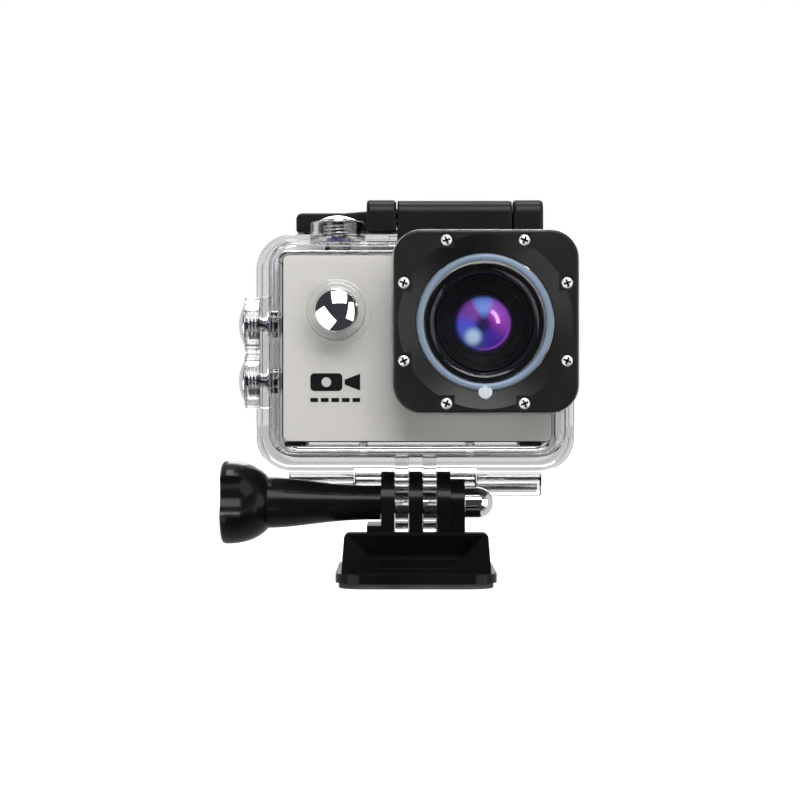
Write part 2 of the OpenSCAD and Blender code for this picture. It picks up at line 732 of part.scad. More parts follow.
// Black frame between the front panel and the back cover, with two feet underneath.
module camera_frame() {
  y0 = cam_y0 + panel_t;
  color("#1c1c1e") difference() {
    union() {
      plate([cam_cx, cam_cz], [cam_w, cam_h], cam_r, y0, cover_y);
      for (x = foot_x)
        box([x[0], y0 + 0.5, cam_z0 - foot_h], [x[1], cover_y - 1, cam_z0 + E]);
    }
    plate([cam_cx, cam_cz], [cam_w - 2 * skin, cam_h - 2 * skin], 1.6, y0 + skin, cover_y + 1);
    rod_y(10.6, y0 - 1, y0 + skin + 1, lens);
    rod_y(key_r[0] + 0.15, y0 - 1, y0 + skin + 1, power);
    translate([power[0], side_y, cam_top - skin - 1]) cylinder(r = key_r[1] + 0.1, h = skin + 2);
    for (z = side_z)
      rod_x(key_r[2] + 0.1, cam_x0 - 1, cam_x0 + skin + 1, [side_y, z]);
    // battery door opening and the ports in the right-hand side
    box([-20, -4.5, cam_z0 - 1], [6, 4.5, cam_z0 + skin + 1]);
    box([cam_cx + cam_w / 2 - skin - 1, -3, cam_cz - 9], [cam_cx + cam_w / 2 + 1, 2, cam_cz + 9]);
  }
}

module camera_back_cover() {
  color("#1e1e20") difference() {
    plate([cam_cx, cam_cz], [cam_w, cam_h], cam_r, cover_y, cam_y1);
    plate([cam_cx, cam_cz], [cam_w - 2 * skin, cam_h - 2 * skin], 1.6, cover_y - 1, cam_y1 - 1.6);
    plate([cam_cx, cam_cz + 0.6], [39, 30], 1.2, cam_y1 - 0.9, cam_y1 + 1);
    plate([cam_cx, cam_cz + 0.6], [33, 25], 0.8, cam_y1 - 3, cam_y1);
    for (x = [-1, 1], z = [-1, 1])
      rod_y(1.1, cam_y1 - 0.8, cam_y1 + 1, [cam_cx + x * 26.4, cam_cz + z * 17.3]);
  }
}

module camera_screen() {
  color("#0c0d10") plate([cam_cx, cam_cz + 0.6], [38.8, 29.8], 1.1, cam_y1 - 0.9, cam_y1 - 0.05);
}

module screen_panel() {
  color("#2b3038") plate([cam_cx, cam_cz + 0.6], [32.8, 24.8], 0.7, cam_y1 - 2.9, cam_y1 - 1);
}

// Generic printed pictogram: a film camera over a row of bars.
module panel_print() {
  y = [cam_y0 - 0.05, cam_y0];
  x0 = -23.1;
  z0 = cam_z0 + 11.2;
  color("#171718") {
    difference() {
      plate([x0 + 3.5, z0 + 1.95], [7, 3.9], 0.9, y[0], y[1]);
      rod_y(1.05, y[0] - 1, y[1] + 1, [x0 + 3.5, z0 + 1.95]);
    }
    along_y(y[0], y[1])
      polygon([[x0 + 7.5, z0 + 1.4], [x0 + 10.9, z0 + 0.1], [x0 + 10.9, z0 + 3.8], [x0 + 7.5, z0 + 2.5]]);
    for (i = [0:4])
      box([x0 + i * 2.3, y[0], z0 - 2.4], [x0 + i * 2.3 + 1.7, y[1], z0 - 1.5]);
  }
}

// Glossy black ring round the lens, standing out of the front panel.
module lens_trim_ring() {
  color("#0f0f11")
    turned_y([[10.6, -cam_y0 - panel_t], [12.9, -cam_y0 - panel_t], [12.9, 17.9], [12.5, 18.5],
              [11.9, 18.6], [10.9, 17.2], [10.6, 17.0]], lens);
}

// Stepped barrel that leads in to the front lens.
module lens_barrel() {
  color("#0d0d0f")
    turned_y([[6.5, -2], [9.2, -2], [9.2, 8.2], [10.5, 8.2], [10.5, 17.0], [10.0, 17.0], [9.9, 15.6],
              [8.7, 15.4], [8.6, 14.2], [6.9, 13.2], [6.5, 13.0]], lens);
}

// A lens element: its front bulges by bulge.
module element(r, front, bulge, back) {
  ball = (r * r + bulge * bulge) / (2 * bulge);
  turned_y(concat([[0, back], [r, back]],
                  [for (i = [0:10]) let (a = asin(r / ball) * (1 - i / 10))
                    [ball * sin(a), front + bulge - ball + ball * cos(a)]]), lens);
}

module front_lens() {
  color([0.45, 0.3, 0.75, 0.6]) element(6.5, 11.6, 1.5, 9.4);
}

module rear_lens() {
  color([0.5, 0.5, 0.8, 0.6]) element(5.6, 5.6, 1.2, 4.2);
}

module lens_holder() {
  color("#17171a") difference() {
    plate(lens, [17, 17], 1.5, 2, 4);
    rod_y(5.2, -3, 5, lens);
  }
  color("#17171a") difference() {
    rod_y(6.45, -4.2, 2, lens);
    rod_y(5.2, -5, 3, lens);
  }
}

module image_sensor() {
  color("#3f3552") plate(lens, [7.6, 6.4], 0.4, 3.2, 4);
}

module main_board() {
  color("#1f5a38") difference() {
    plate([cam_cx, cam_cz], [54, 36], 1, 4, 5.2);
    for (x = [-1, 1], z = [-1, 1])
      rod_y(0.9, 3, 6, [cam_cx + x * 25.2, cam_cz + z * 16.4]);
  }
}

module battery() {
  color("#3b4d78") box([-26.5, -6.4, cam_z0 + 3.6], [2.6, 3.2, cam_z0 + 36.6]);
}

module battery_door() {
  color("#1c1c1e") {
    box([-19.8, -4.3, cam_z0 + 0.05], [5.8, 4.3, cam_z0 + skin]);
    box([-18, -3.4, cam_z0 + skin - E], [-12, 3.4, cam_z0 + 3.2]);
  }
}

module memory_card() {
  color("#26262a") box([-8, 5.25, cam_cz + 4], [3, 6.0, cam_cz + 15]);
}

module speaker() {
  color("#55585c") rod_y(4.2, 5.3, 7.2, [-19, cam_cz - 8]);
}

module port_block() {
  x = cam_cx + cam_w / 2;
  color("#8d9095") for (z = [-4.5, 4.5])
    difference() {
      box([x - 5.6, -2.6, cam_cz + z - 3.6], [x - 0.3, 1.6, cam_cz + z + 3.6]);
      box([x - 4.6, -1.9, cam_cz + z - 2.9], [x, 0.9, cam_cz + z + 2.9]);
    }
}

module camera_screws() {
  color("#9b9ea3") for (x = [-1, 1], z = [-1, 1])
    translate([cam_cx + x * 26.4, 0, cam_cz + z * 17.3]) difference() {
      rod_y(1.05, cam_y1 - 0.8, cam_y1 - 0.1, [0, 0]);
      for (a = [0, 90]) rotate([0, a, 0])
        translate([0, cam_y1 - 0.2, 0]) cube([1.4, 0.5, 0.35], center = true);
    }
}

// The camera's own keys, under the housing's plungers.
module power_key() {
  color("#b9b5ae") rod_y(key_r[0], in_y + key_gap, cam_y0 + 1.6, power);
}
module shutter_key() {
  color("#b9b5ae") translate([power[0], side_y, cam_top - 1.1])
    cylinder(r = key_r[1], h = in_z[1] - key_gap - cam_top + 1.1);
}
module side_key(z) {
  color("#26262c") rod_x(key_r[2], in_x[0] + key_gap, cam_x0 + 1.2, [side_y, z]);
}
module upper_side_key() { side_key(side_z[0]); }
module lower_side_key() { side_key(side_z[1]); }

base_mount();
adhesive_pad();
mount_buckle();
cap_nut();
clip_left();
clip_right();
thumb_knob();
thumb_bolt();
front_shell();
window_glass();
window_seal();
lens_bezel();
bezel_screws();
latch_block();
latch_block_screws();
latch_pin();
hinge_pin();
button_seals();
front_button();
top_button();
upper_side_button();
lower_side_button();
front_button_clip();
top_button_clip();
upper_side_clip();
lower_side_clip();
front_button_spring();
top_button_spring();
upper_side_spring();
lower_side_spring();
back_door();
door_gasket();
door_pads();
latch_lever();
camera_front_panel();
camera_frame();
camera_back_cover();
camera_screen();
screen_panel();
panel_print();
lens_trim_ring();
lens_barrel();
front_lens();
rear_lens();
lens_holder();
image_sensor();
main_board();
battery();
battery_door();
memory_card();
speaker();
port_block();
camera_screws();
power_key();
shutter_key();
upper_side_key();
lower_side_key();
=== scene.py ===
"""Looks of an action camera in a clear dive housing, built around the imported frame.

Shapes are written in millimetres in the frame's axes: +X right, +Y back, +Z up, the lens looks along -Y.
"""
import json
import math

import bmesh
import bpy
from mathutils import Matrix, Vector


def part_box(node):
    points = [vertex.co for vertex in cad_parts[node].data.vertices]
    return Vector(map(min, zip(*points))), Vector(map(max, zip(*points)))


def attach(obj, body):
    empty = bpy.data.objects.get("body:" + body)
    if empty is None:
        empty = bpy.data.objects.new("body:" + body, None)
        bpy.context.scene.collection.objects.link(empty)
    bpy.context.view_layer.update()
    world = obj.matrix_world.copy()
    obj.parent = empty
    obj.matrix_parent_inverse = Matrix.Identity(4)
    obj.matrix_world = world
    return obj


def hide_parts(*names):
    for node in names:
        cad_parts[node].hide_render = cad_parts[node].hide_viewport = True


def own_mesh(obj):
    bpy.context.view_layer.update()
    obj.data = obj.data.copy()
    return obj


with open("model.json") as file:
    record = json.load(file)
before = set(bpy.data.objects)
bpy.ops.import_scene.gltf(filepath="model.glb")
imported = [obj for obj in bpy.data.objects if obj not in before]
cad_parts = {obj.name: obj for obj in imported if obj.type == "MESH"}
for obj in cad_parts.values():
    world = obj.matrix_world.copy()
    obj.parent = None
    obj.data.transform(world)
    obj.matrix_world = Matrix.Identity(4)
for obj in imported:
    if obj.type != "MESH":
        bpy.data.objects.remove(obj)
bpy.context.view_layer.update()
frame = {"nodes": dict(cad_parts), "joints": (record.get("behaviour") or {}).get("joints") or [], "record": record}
NODES = frame["nodes"]

MM = 0.001
TAU = 2 * math.pi


# ---------------------------------------------------------------- sizes taken from the frame

def span(node):
    """Lowest and highest corner of a CAD node, in millimetres."""
    low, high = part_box(node)
    return low / MM, high / MM


def middle(node):
    low, high = span(node)
    return (low + high) / 2


JOINTS = {joint["name"]: joint for joint in frame["joints"]}
AXIS_Z = JOINTS["tilt"]["pos_m"][2] / MM
WALL = 2.0
CAM_GAP = 0.8
CAM_LOW, CAM_HIGH = span("camera_frame")
PANEL_LOW = span("camera_front_panel")[0]
LENS = middle("front_lens")
EDGE_TURNS = (0, 0.5, 1.0, math.pi / 2)  # where the points of a small rounded edge lie


# ---------------------------------------------------------------- mesh helpers

def new_object(name, verts, faces):
    """A mesh object from points in millimetres, with its normals facing out."""
    mesh = bpy.data.meshes.new(name)
    mesh.from_pydata([Vector(v) * MM for v in verts], [], faces)
    bm = bmesh.new()
    bm.from_mesh(mesh)
    bmesh.ops.remove_doubles(bm, verts=bm.verts, dist=1e-7)
    bmesh.ops.recalc_face_normals(bm, faces=bm.faces)
    bm.to_mesh(mesh)
    bm.free()
    obj = bpy.data.objects.new(name, mesh)
    bpy.context.scene.collection.objects.link(obj)
    return obj


def loft(name, rings, capped=True, closed=False):
    """Joins rings of equally many points. The end rings are capped, or joined to each other."""
    count = len(rings[0])
    verts = [p for ring in rings for p in ring]
    faces = []
    pairs = len(rings) if closed else len(rings) - 1
    for i in range(pairs):
        j = (i + 1) % len(rings)
        for k in range(count):
            n = (k + 1) % count
            faces.append((i * count + k, i * count + n, j * count + n, j * count + k))
    if capped and not closed:
        faces.append(tuple(range(count - 1, -1, -1)))
        faces.append(tuple((len(rings) - 1) * count + k for k in range(count)))
    return new_object(name, verts, faces)


def rounded_ring(centre, size, radius, y, steps=14):
    """A rounded rectangle in X and Z at depth y."""
    radius = max(radius, 0.05)
    half = (size[0] / 2 - radius, size[1] / 2 - radius)
    ring = []
    for k in range(4):
        x = centre[0] + half[0] * (1 if k in (0, 3) else -1)
        z = centre[1] + half[1] * (1 if k in (0, 1) else -1)
        for i in range(steps + 1):
            a = math.pi / 2 * (k + i / steps)
            ring.append((x + radius * math.cos(a), y, z + radius * math.sin(a)))
    return ring


def edge_stations(y, inward, r, steps=5):
    """Stations (depth, inset) of an edge of radius r, from the flat face at y to the full outline."""
    angles = [math.pi / 2 * i / steps for i in range(steps + 1)]
    return [(y + inward * r * (1 - math.cos(a)), r * (1 - math.sin(a))) for a in angles]


def outline_rings(centre, size, radius, stations, steps=14):
    """Rounded rectangles at (depth, inset) stations."""
    return [
        rounded_ring(centre, (size[0] - 2 * i, size[1] - 2 * i), radius - i, y, steps) for y, i in stations
    ]


def soft_plate(name, centre, size, radius, y0, y1, r0, r1):
    """A rounded plate from y0 to y1 with its front and back edges rounded by r0 and r1."""
    stations = edge_stations(y0, 1, r0) + edge_stations(y1, -1, r1)[::-1]
    return loft(name, outline_rings(centre, size, radius, stations))


def round_edges(obj, radius, segments=3, angle=30):
    """Rounds a new piece's sharp edges by radius, in its mesh."""
    bm = bmesh.new()
    bm.from_mesh(obj.data)
    sharp = [e for e in bm.edges if len(e.link_faces) == 2 and e.calc_face_angle(0) > math.radians(angle)]
    bmesh.ops.bevel(bm, geom=sharp, offset=radius * MM, segments=segments, profile=0.5,
                    affect="EDGES", clamp_overlap=True)
    bm.to_mesh(obj.data)
    bm.free()
    return obj


def block(name, low, high, radius=0):
    """A box between two corners, with rounded edges."""
    xs, ys, zs = zip(low, high)
    corners = [(x, y, z) for x in xs for y in ys for z in zs]
    faces = [(0, 1, 3, 2), (4, 6, 7, 5), (0, 4, 5, 1), (2, 3, 7, 6), (0, 2, 6, 4), (1, 5, 7, 3)]
    obj = new_object(name, corners, faces)
    return round_edges(obj, radius) if radius else obj


def slab(name, outline, y0, y1, radius=0):
    """An outline of (x, z) points, extruded along Y. Its end edges are rounded."""
    obj = loft(name, [[(x, y, z) for x, z in outline] for y in (y0, y1)])
    return round_edges(obj, radius, angle=40) if radius else obj


def prism(name, outline, x0, x1, radius=0):
    """An outline of (y, z) points, extruded along X. Its end edges are rounded."""
    rings = [[(x, y, z) for y, z in outline] for x in (x0, x1)]
    obj = loft(name, rings)
    return round_edges(obj, radius, angle=40) if radius else obj


def arc(y, z, r, start, end, steps=12):
    """Points (y, z) along an arc, with the angles in degrees."""
    angles = [math.radians(start + (end - start) * i / steps) for i in range(steps + 1)]
    return [(y + r * math.cos(a), z + r * math.sin(a)) for a in angles]


def rod(name, r, length, centre, axis="z", segments=64, edge=0):
    """A cylinder that starts at centre and runs length along axis."""
    profile = [(0, 0), (r - edge, 0), (r, edge), (r, length - edge), (r - edge, length), (0, length)]
    return place(turned(name, profile, segments), centre, axis)


def turned(name, profile, segments=96):
    """Turns (radius, height) points about Z, as one closed surface of revolution."""
    rings, verts, faces = [], [], []
    for r, h in profile:
        if r < 1e-6:
            rings.append([len(verts)])
            verts.append((0, 0, h))
        else:
            rings.append(list(range(len(verts), len(verts) + segments)))
            verts += [(r * math.cos(TAU * k / segments), r * math.sin(TAU * k / segments), h)
                      for k in range(segments)]
    ends_open = len(rings[0]) > 1
    pairs = [(i, i + 1) for i in range(len(rings) - 1)] + ([(len(rings) - 1, 0)] if ends_open else [])
    for i, j in pairs:
        a, b = rings[i], rings[j]
        for k in range(segments):
            n = (k + 1) % segments
            quad = [a[k % len(a)], a[n % len(a)], b[n % len(b)], b[k % len(b)]]
            face = tuple(dict.fromkeys(quad))
            if len(face) > 2:
                faces.append(face)
    return new_object(name, verts, faces)


def place(obj, centre, axis="z"):
    """Turns a shape made along +Z to point along -Y, -X or +X, and moves it to centre, in millimetres."""
    turn = {
        "z": Matrix.Identity(4),
        "-y": Matrix.Rotation(math.pi / 2, 4, "X"),
        "-x": Matrix.Rotation(-math.pi / 2, 4, "Y"),
        "x": Matrix.Rotation(math.pi / 2, 4, "Y"),
    }[axis]
    obj.data.transform(Matrix.Translation(Vector(centre) * MM) @ turn)
    return obj


def combine(target, tool, operation):
    """Applies a boolean with another closed piece, which is used up."""
    cut = target.modifiers.new("combine", "BOOLEAN")
    cut.object, cut.operation, cut.solver = tool, operation, "EXACT"
    view = bpy.context.evaluated_depsgraph_get()
    mesh = bpy.data.meshes.new_from_object(target.evaluated_get(view))
    target.modifiers.clear()
    target.data = mesh
    bpy.data.objects.remove(tool)
    return target


def joined(name, pieces):
    """Several new pieces as one object."""
    bm = bmesh.new()
    for piece in pieces:
        bm.from_mesh(piece.data)
        bpy.data.objects.remove(piece)
    mesh = bpy.data.meshes.new(name)
    bm.to_mesh(mesh)
    bm.free()
    obj = bpy.data.objects.new(name, mesh)
    bpy.context.scene.collection.objects.link(obj)
    return obj


def smooth(obj, angle=32):
    """Smooth shading that stops at edges sharper than angle, with large flats kept flat."""
    bm = bmesh.new()
    bm.from_mesh(obj.data)
    limit = math.radians(angle)
    for face in bm.faces:
        face.smooth = True
    for edge in bm.edges:
        edge.smooth = len(edge.link_faces) == 2 and edge.calc_face_angle(0) < limit
    bm.to_mesh(obj.data)
    bm.free()
    weighted = obj.modifiers.new("weighted_normals", "WEIGHTED_NORMAL")
    weighted.keep_sharp = True
    return obj


def crisp(node, width=0.25, segments=3, angle=30):
    """Rounds a CAD node's edges by width, with modifiers only: its own mesh stays as it is."""
    obj = NODES[node]
    for name in ("custom_normal", "sharp_edge"):
        layer = obj.data.attributes.get(name)
        if layer:
            obj.data.attributes.remove(layer)
    for polygon in obj.data.polygons:
        polygon.use_smooth = True
    weld = obj.modifiers.new("weld", "WELD")
    weld.merge_threshold = 2e-6
    flat = obj.modifiers.new("flats", "DECIMATE")
    flat.decimate_type, flat.angle_limit = "DISSOLVE", math.radians(0.6)
    if width:
        bevel = obj.modifiers.new("edges", "BEVEL")
        bevel.width, bevel.segments = width * MM, segments
        bevel.limit_method, bevel.angle_limit = "ANGLE", math.radians(angle)
        bevel.harden_normals = True
        bevel.miter_outer = "MITER_ARC"
    weighted = obj.modifiers.new("weighted_normals", "WEIGHTED_NORMAL")
    weighted.keep_sharp = True
    return obj


def finish_piece(obj, body, slot, material, *replaced):
    """Gives a new piece its material, hangs it on its body's empty and hides the CAD nodes it stands for."""
    obj.data.materials.clear()
    obj.data.materials.append(material)
    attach(obj, body)
    if replaced:
        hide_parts(*replaced)
    return obj


# ---------------------------------------------------------------- materials

class Shader:
    """A Principled material under construction, with object coordinates in metres."""

    def __init__(self, name, colour, roughness, **sockets):
        self.material = bpy.data.materials.new(name)
        self.material.use_nodes = True
        self.tree = self.material.node_tree
        self.bsdf = self.tree.nodes["Principled BSDF"]
        self.set("Base Color", (*colour, 1))
        self.set("Roughness", roughness)
        for key, value in sockets.items():
            self.set(key.replace("_", " "), value)
        self.where = self.add("ShaderNodeTexCoord").outputs["Object"]

    def set(self, socket, value):
        self.bsdf.inputs[socket].default_value = value

    def add(self, kind, **values):
        node = self.tree.nodes.new(kind)
        for key, value in values.items():
            if key in node.inputs:
                node.inputs[key].default_value = value
            else:
                setattr(node, key, value)
        return node

    def link(self, source, target):
        self.tree.links.new(source, target)

    def noise(self, size, detail=3, stretch=None):
        """Noise with features about size millimetres across."""
        node = self.add("ShaderNodeTexNoise")
        node.inputs["Scale"].default_value = 1 / (size * MM)
        node.inputs["Detail"].default_value = detail
        where = self.where
        if stretch:
            mapping = self.add("ShaderNodeMapping")
            mapping.inputs["Scale"].default_value = stretch
            self.link(where, mapping.inputs["Vector"])
            where = mapping.outputs["Vector"]
        self.link(where, node.inputs["Vector"])
        return node.outputs["Fac"]

    def ramp(self, source, *stops):
        """A colour ramp with (position, colour) stops."""
        node = self.add("ShaderNodeValToRGB")
        elements = node.color_ramp.elements
        while len(elements) < len(stops):
            elements.new(0.5)
        for element, (position, colour) in zip(elements, stops):
            element.position, element.color = position, (*colour, 1)
        self.link(source, node.inputs["Fac"])
        return node.outputs["Color"]

    def spread(self, source, low, high):
        """Maps the middle of a noise to low..high."""
        node = self.add("ShaderNodeMapRange")
        for key, value in (("From Min", 0.3), ("From Max", 0.7), ("To Min", low), ("To Max", high)):
            node.inputs[key].default_value = value
        self.link(source, node.inputs["Value"])
        return node.outputs["Result"]

    def bump(self, source, depth, strength=1.0):
        """Bumps depth millimetres deep."""
        node = self.add("ShaderNodeBump")
        node.inputs["Strength"].default_value = strength
        node.inputs["Distance"].default_value = depth * MM
        self.link(source, node.inputs["Height"])
        self.link(node.outputs["Normal"], self.bsdf.inputs["Normal"])


def tinted(colour, factor):
    return tuple(min(1, c * factor) for c in colour)


def moulded(name, colour, roughness, grain=0.18, depth=0.006, vary=0.25, **sockets):
    """Moulded plastic or rubber: a fine skin, slow changes of shade and of roughness."""
    s = Shader(name, colour, roughness, **sockets)
    cloud = s.noise(9, 2)
    shade = s.ramp(cloud, (0.3, tinted(colour, 1 - vary)), (0.7, tinted(colour, 1 + vary)))
    s.link(shade, s.bsdf.inputs["Base Color"])
    s.link(s.spread(s.noise(4, 2), roughness * 0.93, roughness * 1.07), s.bsdf.inputs["Roughness"])
    s.bump(s.noise(grain, 2), depth)
    return s.material


def polished_metal(name, colour, roughness, scratch=0.0015, metallic=1.0):
    """Plated or polished metal with faint hairlines."""
    s = Shader(name, colour, roughness, Metallic=metallic)
    hair = s.noise(0.4, 3, (1, 1, 12))
    s.link(s.spread(hair, roughness * 0.7, roughness * 1.4), s.bsdf.inputs["Roughness"])
    shade = s.ramp(s.noise(5, 2), (0.3, tinted(colour, 0.94)), (0.7, tinted(colour, 1.03)))
    s.link(shade, s.bsdf.inputs["Base Color"])
    s.bump(s.noise(2.5, 2), scratch)
    return s.material


def clear_plastic(name, tint, ior, roughness=0.015):
    """Clear moulded plastic or glass that lets lamp light through."""
    s = Shader(name, tint, roughness, IOR=ior)
    s.set("Transmission Weight", 1.0)
    s.link(s.spread(s.noise(3, 3), roughness * 0.6, roughness * 1.5), s.bsdf.inputs["Roughness"])
    s.bump(s.noise(6, 2), 0.004, 0.5)
    path = s.add("ShaderNodeLightPath")
    through = s.add("ShaderNodeBsdfTransparent")
    through.inputs["Color"].default_value = (*tinted(tint, 1.06), 1)
    mix = s.add("ShaderNodeMixShader")
    s.link(path.outputs["Is Shadow Ray"], mix.inputs["Fac"])
    s.link(s.bsdf.outputs["BSDF"], mix.inputs[1])
    s.link(through.outputs["BSDF"], mix.inputs[2])
    s.link(mix.outputs["Shader"], s.tree.nodes["Material Output"].inputs["Surface"])
    return s.material


def silver_lacquer():
    """Warm silver paint: fine flakes under a satin clear coat."""
    base = (0.70, 0.672, 0.635)
    s = Shader("silver_lacquer", base, 0.36, Metallic=0.15)
    s.set("Coat Weight", 0.25)
    s.set("Coat Roughness", 0.2)
    flake = s.noise(0.09, 2)
    shade = s.ramp(flake, (0.32, tinted(base, 0.86)), (0.68, tinted(base, 1.12)))
    s.link(shade, s.bsdf.inputs["Base Color"])
    s.link(s.spread(s.noise(0.5, 3), 0.31, 0.42), s.bsdf.inputs["Roughness"])
    s.bump(flake, 0.004)
    return s.material


def lens_painted_reflections():
    """The front lens's painted reflections in its coating: sectors of violet, blue and magenta, a pale spot and a
    pink arc.
    """
    s = Shader("lens_painted_reflections", (0.2, 0.12, 0.6), 0.04)
    s.set("Specular IOR Level", 0.12)

    def math_node(operation, a, b=0.0):
        node = s.add("ShaderNodeMath", operation=operation)
        for socket, value in zip(node.inputs, (a, b)):
            if isinstance(value, float):
                socket.default_value = value
            else:
                s.link(value, socket)
        return node.outputs[0]

    def polar(x, z):
        """Distance in mm and angle in turns (0 right, 0.25 top) about a point near the lens's centre."""
        shift = s.add("ShaderNodeVectorMath", operation="SUBTRACT")
        shift.inputs[1].default_value = ((LENS.x + x) * MM, 0, (LENS.z + z) * MM)
        s.link(s.where, shift.inputs[0])
        parts = s.add("ShaderNodeSeparateXYZ")
        s.link(shift.outputs[0], parts.inputs["Vector"])
        px, pz = parts.outputs["X"], parts.outputs["Z"]
        squares = math_node("ADD", math_node("MULTIPLY", px, px), math_node("MULTIPLY", pz, pz))
        distance = math_node("SQRT", squares)
        turns = math_node("FRACT", math_node("MULTIPLY", math_node("ARCTAN2", pz, px), 1 / TAU))
        return math_node("MULTIPLY", distance, 1 / MM), turns

    def band(value, centre, half, soft):
        """1 within half of centre, falling to 0 over the distance soft."""
        off = math_node("ABSOLUTE", math_node("SUBTRACT", value, centre))
        near = s.add("ShaderNodeMapRange", interpolation_type="SMOOTHSTEP")
        for key, number in (("From Min", half + soft), ("From Max", half), ("To Min", 0), ("To Max", 1)):
            near.inputs[key].default_value = number
        s.link(off, near.inputs["Value"])
        return near.outputs["Result"]

    def over(below, colour, amount, blend="MIX"):
        mix = s.add("ShaderNodeMix", data_type="RGBA", blend_type=blend)
        s.link(amount, mix.inputs["Factor"])
        s.link(below, mix.inputs["A"])
        mix.inputs["B"].default_value = (*colour, 1)
        return mix.outputs["Result"]

    radius, turns = polar(0.0, 0.0)
    # painted reflections: coloured sectors round the lens's middle
    shade = s.ramp(turns, (0.0, (0.24, 0.03, 0.30)), (0.08, (0.28, 0.06, 0.46)), (0.17, (0.22, 0.07, 0.42)),
                   (0.21, (0.12, 0.20, 0.62)), (0.29, (0.10, 0.20, 0.60)), (0.34, (0.20, 0.05, 0.30)),
                   (0.43, (0.13, 0.05, 0.32)), (0.50, (0.06, 0.06, 0.48)), (0.60, (0.05, 0.09, 0.40)),
                   (0.70, (0.03, 0.05, 0.18)), (0.80, (0.03, 0.02, 0.24)), (0.90, (0.07, 0.02, 0.25)),
                   (1.0, (0.24, 0.03, 0.30)))
    # painted reflection: a dark middle
    shade = over(shade, (0.02, 0.01, 0.06), band(radius, 0.0, 0.4, 2.4))
    # darker towards the lens's rim
    shade = over(shade, (0.01, 0.01, 0.03), band(radius, 6.6, 0.15, 1.3))
    # painted reflection: a magenta ring, left out on the left side
    right = math_node("SUBTRACT", 1.0, band(turns, 0.45, 0.2, 0.15))
    shade = over(shade, (0.24, 0.05, 0.45), math_node("MULTIPLY", band(radius, 5.6, 0.08, 0.25), right))
    # painted reflection: a bright pink arc at the right
    pink_arc_reflection = math_node("MULTIPLY", band(radius, 3.15, 0.25, 0.35), band(turns, 0.05, 0.09, 0.05))
    shade = over(shade, (0.85, 0.45, 0.95), pink_arc_reflection)
    # painted reflection: a pale blue spot below and left of the middle
    spot, _ = polar(-2.3, -2.9)
    shade = over(shade, (0.34, 0.47, 0.62), band(spot, 0.0, 0.6, 1.9))
    # painted reflection: dark wavy lines near the middle
    streak, _ = polar(-0.2, -0.6)
    lines = s.add("ShaderNodeTexWave", bands_direction="DIAGONAL")
    lines.inputs["Scale"].default_value = 1 / (2.2 * MM)
    lines.inputs["Distortion"].default_value = 3
    s.link(s.where, lines.inputs["Vector"])
    dark_reflection_lines = math_node("MULTIPLY", band(streak, 0.0, 0.6, 1.1), lines.outputs["Fac"])
    shade = over(shade, (0.01, 0.01, 0.04), dark_reflection_lines)
    s.link(shade, s.bsdf.inputs["Base Color"])
    # painted light: the lens glows faintly in its painted reflection colours, though it is no lamp
    s.link(shade, s.bsdf.inputs["Emission Color"])
    s.set("Emission Strength", 0.12)
    return s.material


def circuit_board():
    """Green solder mask with a net of tracks."""
    s = Shader("circuit_board", (0.02, 0.12, 0.06), 0.3)
    cells = s.add("ShaderNodeTexVoronoi", feature="DISTANCE_TO_EDGE", distance="CHEBYCHEV")
    cells.inputs["Scale"].default_value = 1 / (2.2 * MM)
    s.link(s.where, cells.inputs["Vector"])
    s.link(s.ramp(cells.outputs["Distance"], (0.03, (0.25, 0.22, 0.08)), (0.06, (0.02, 0.12, 0.06))),
           s.bsdf.inputs["Base Color"])
    s.bump(cells.outputs["Distance"], 0.02)
    return s.material


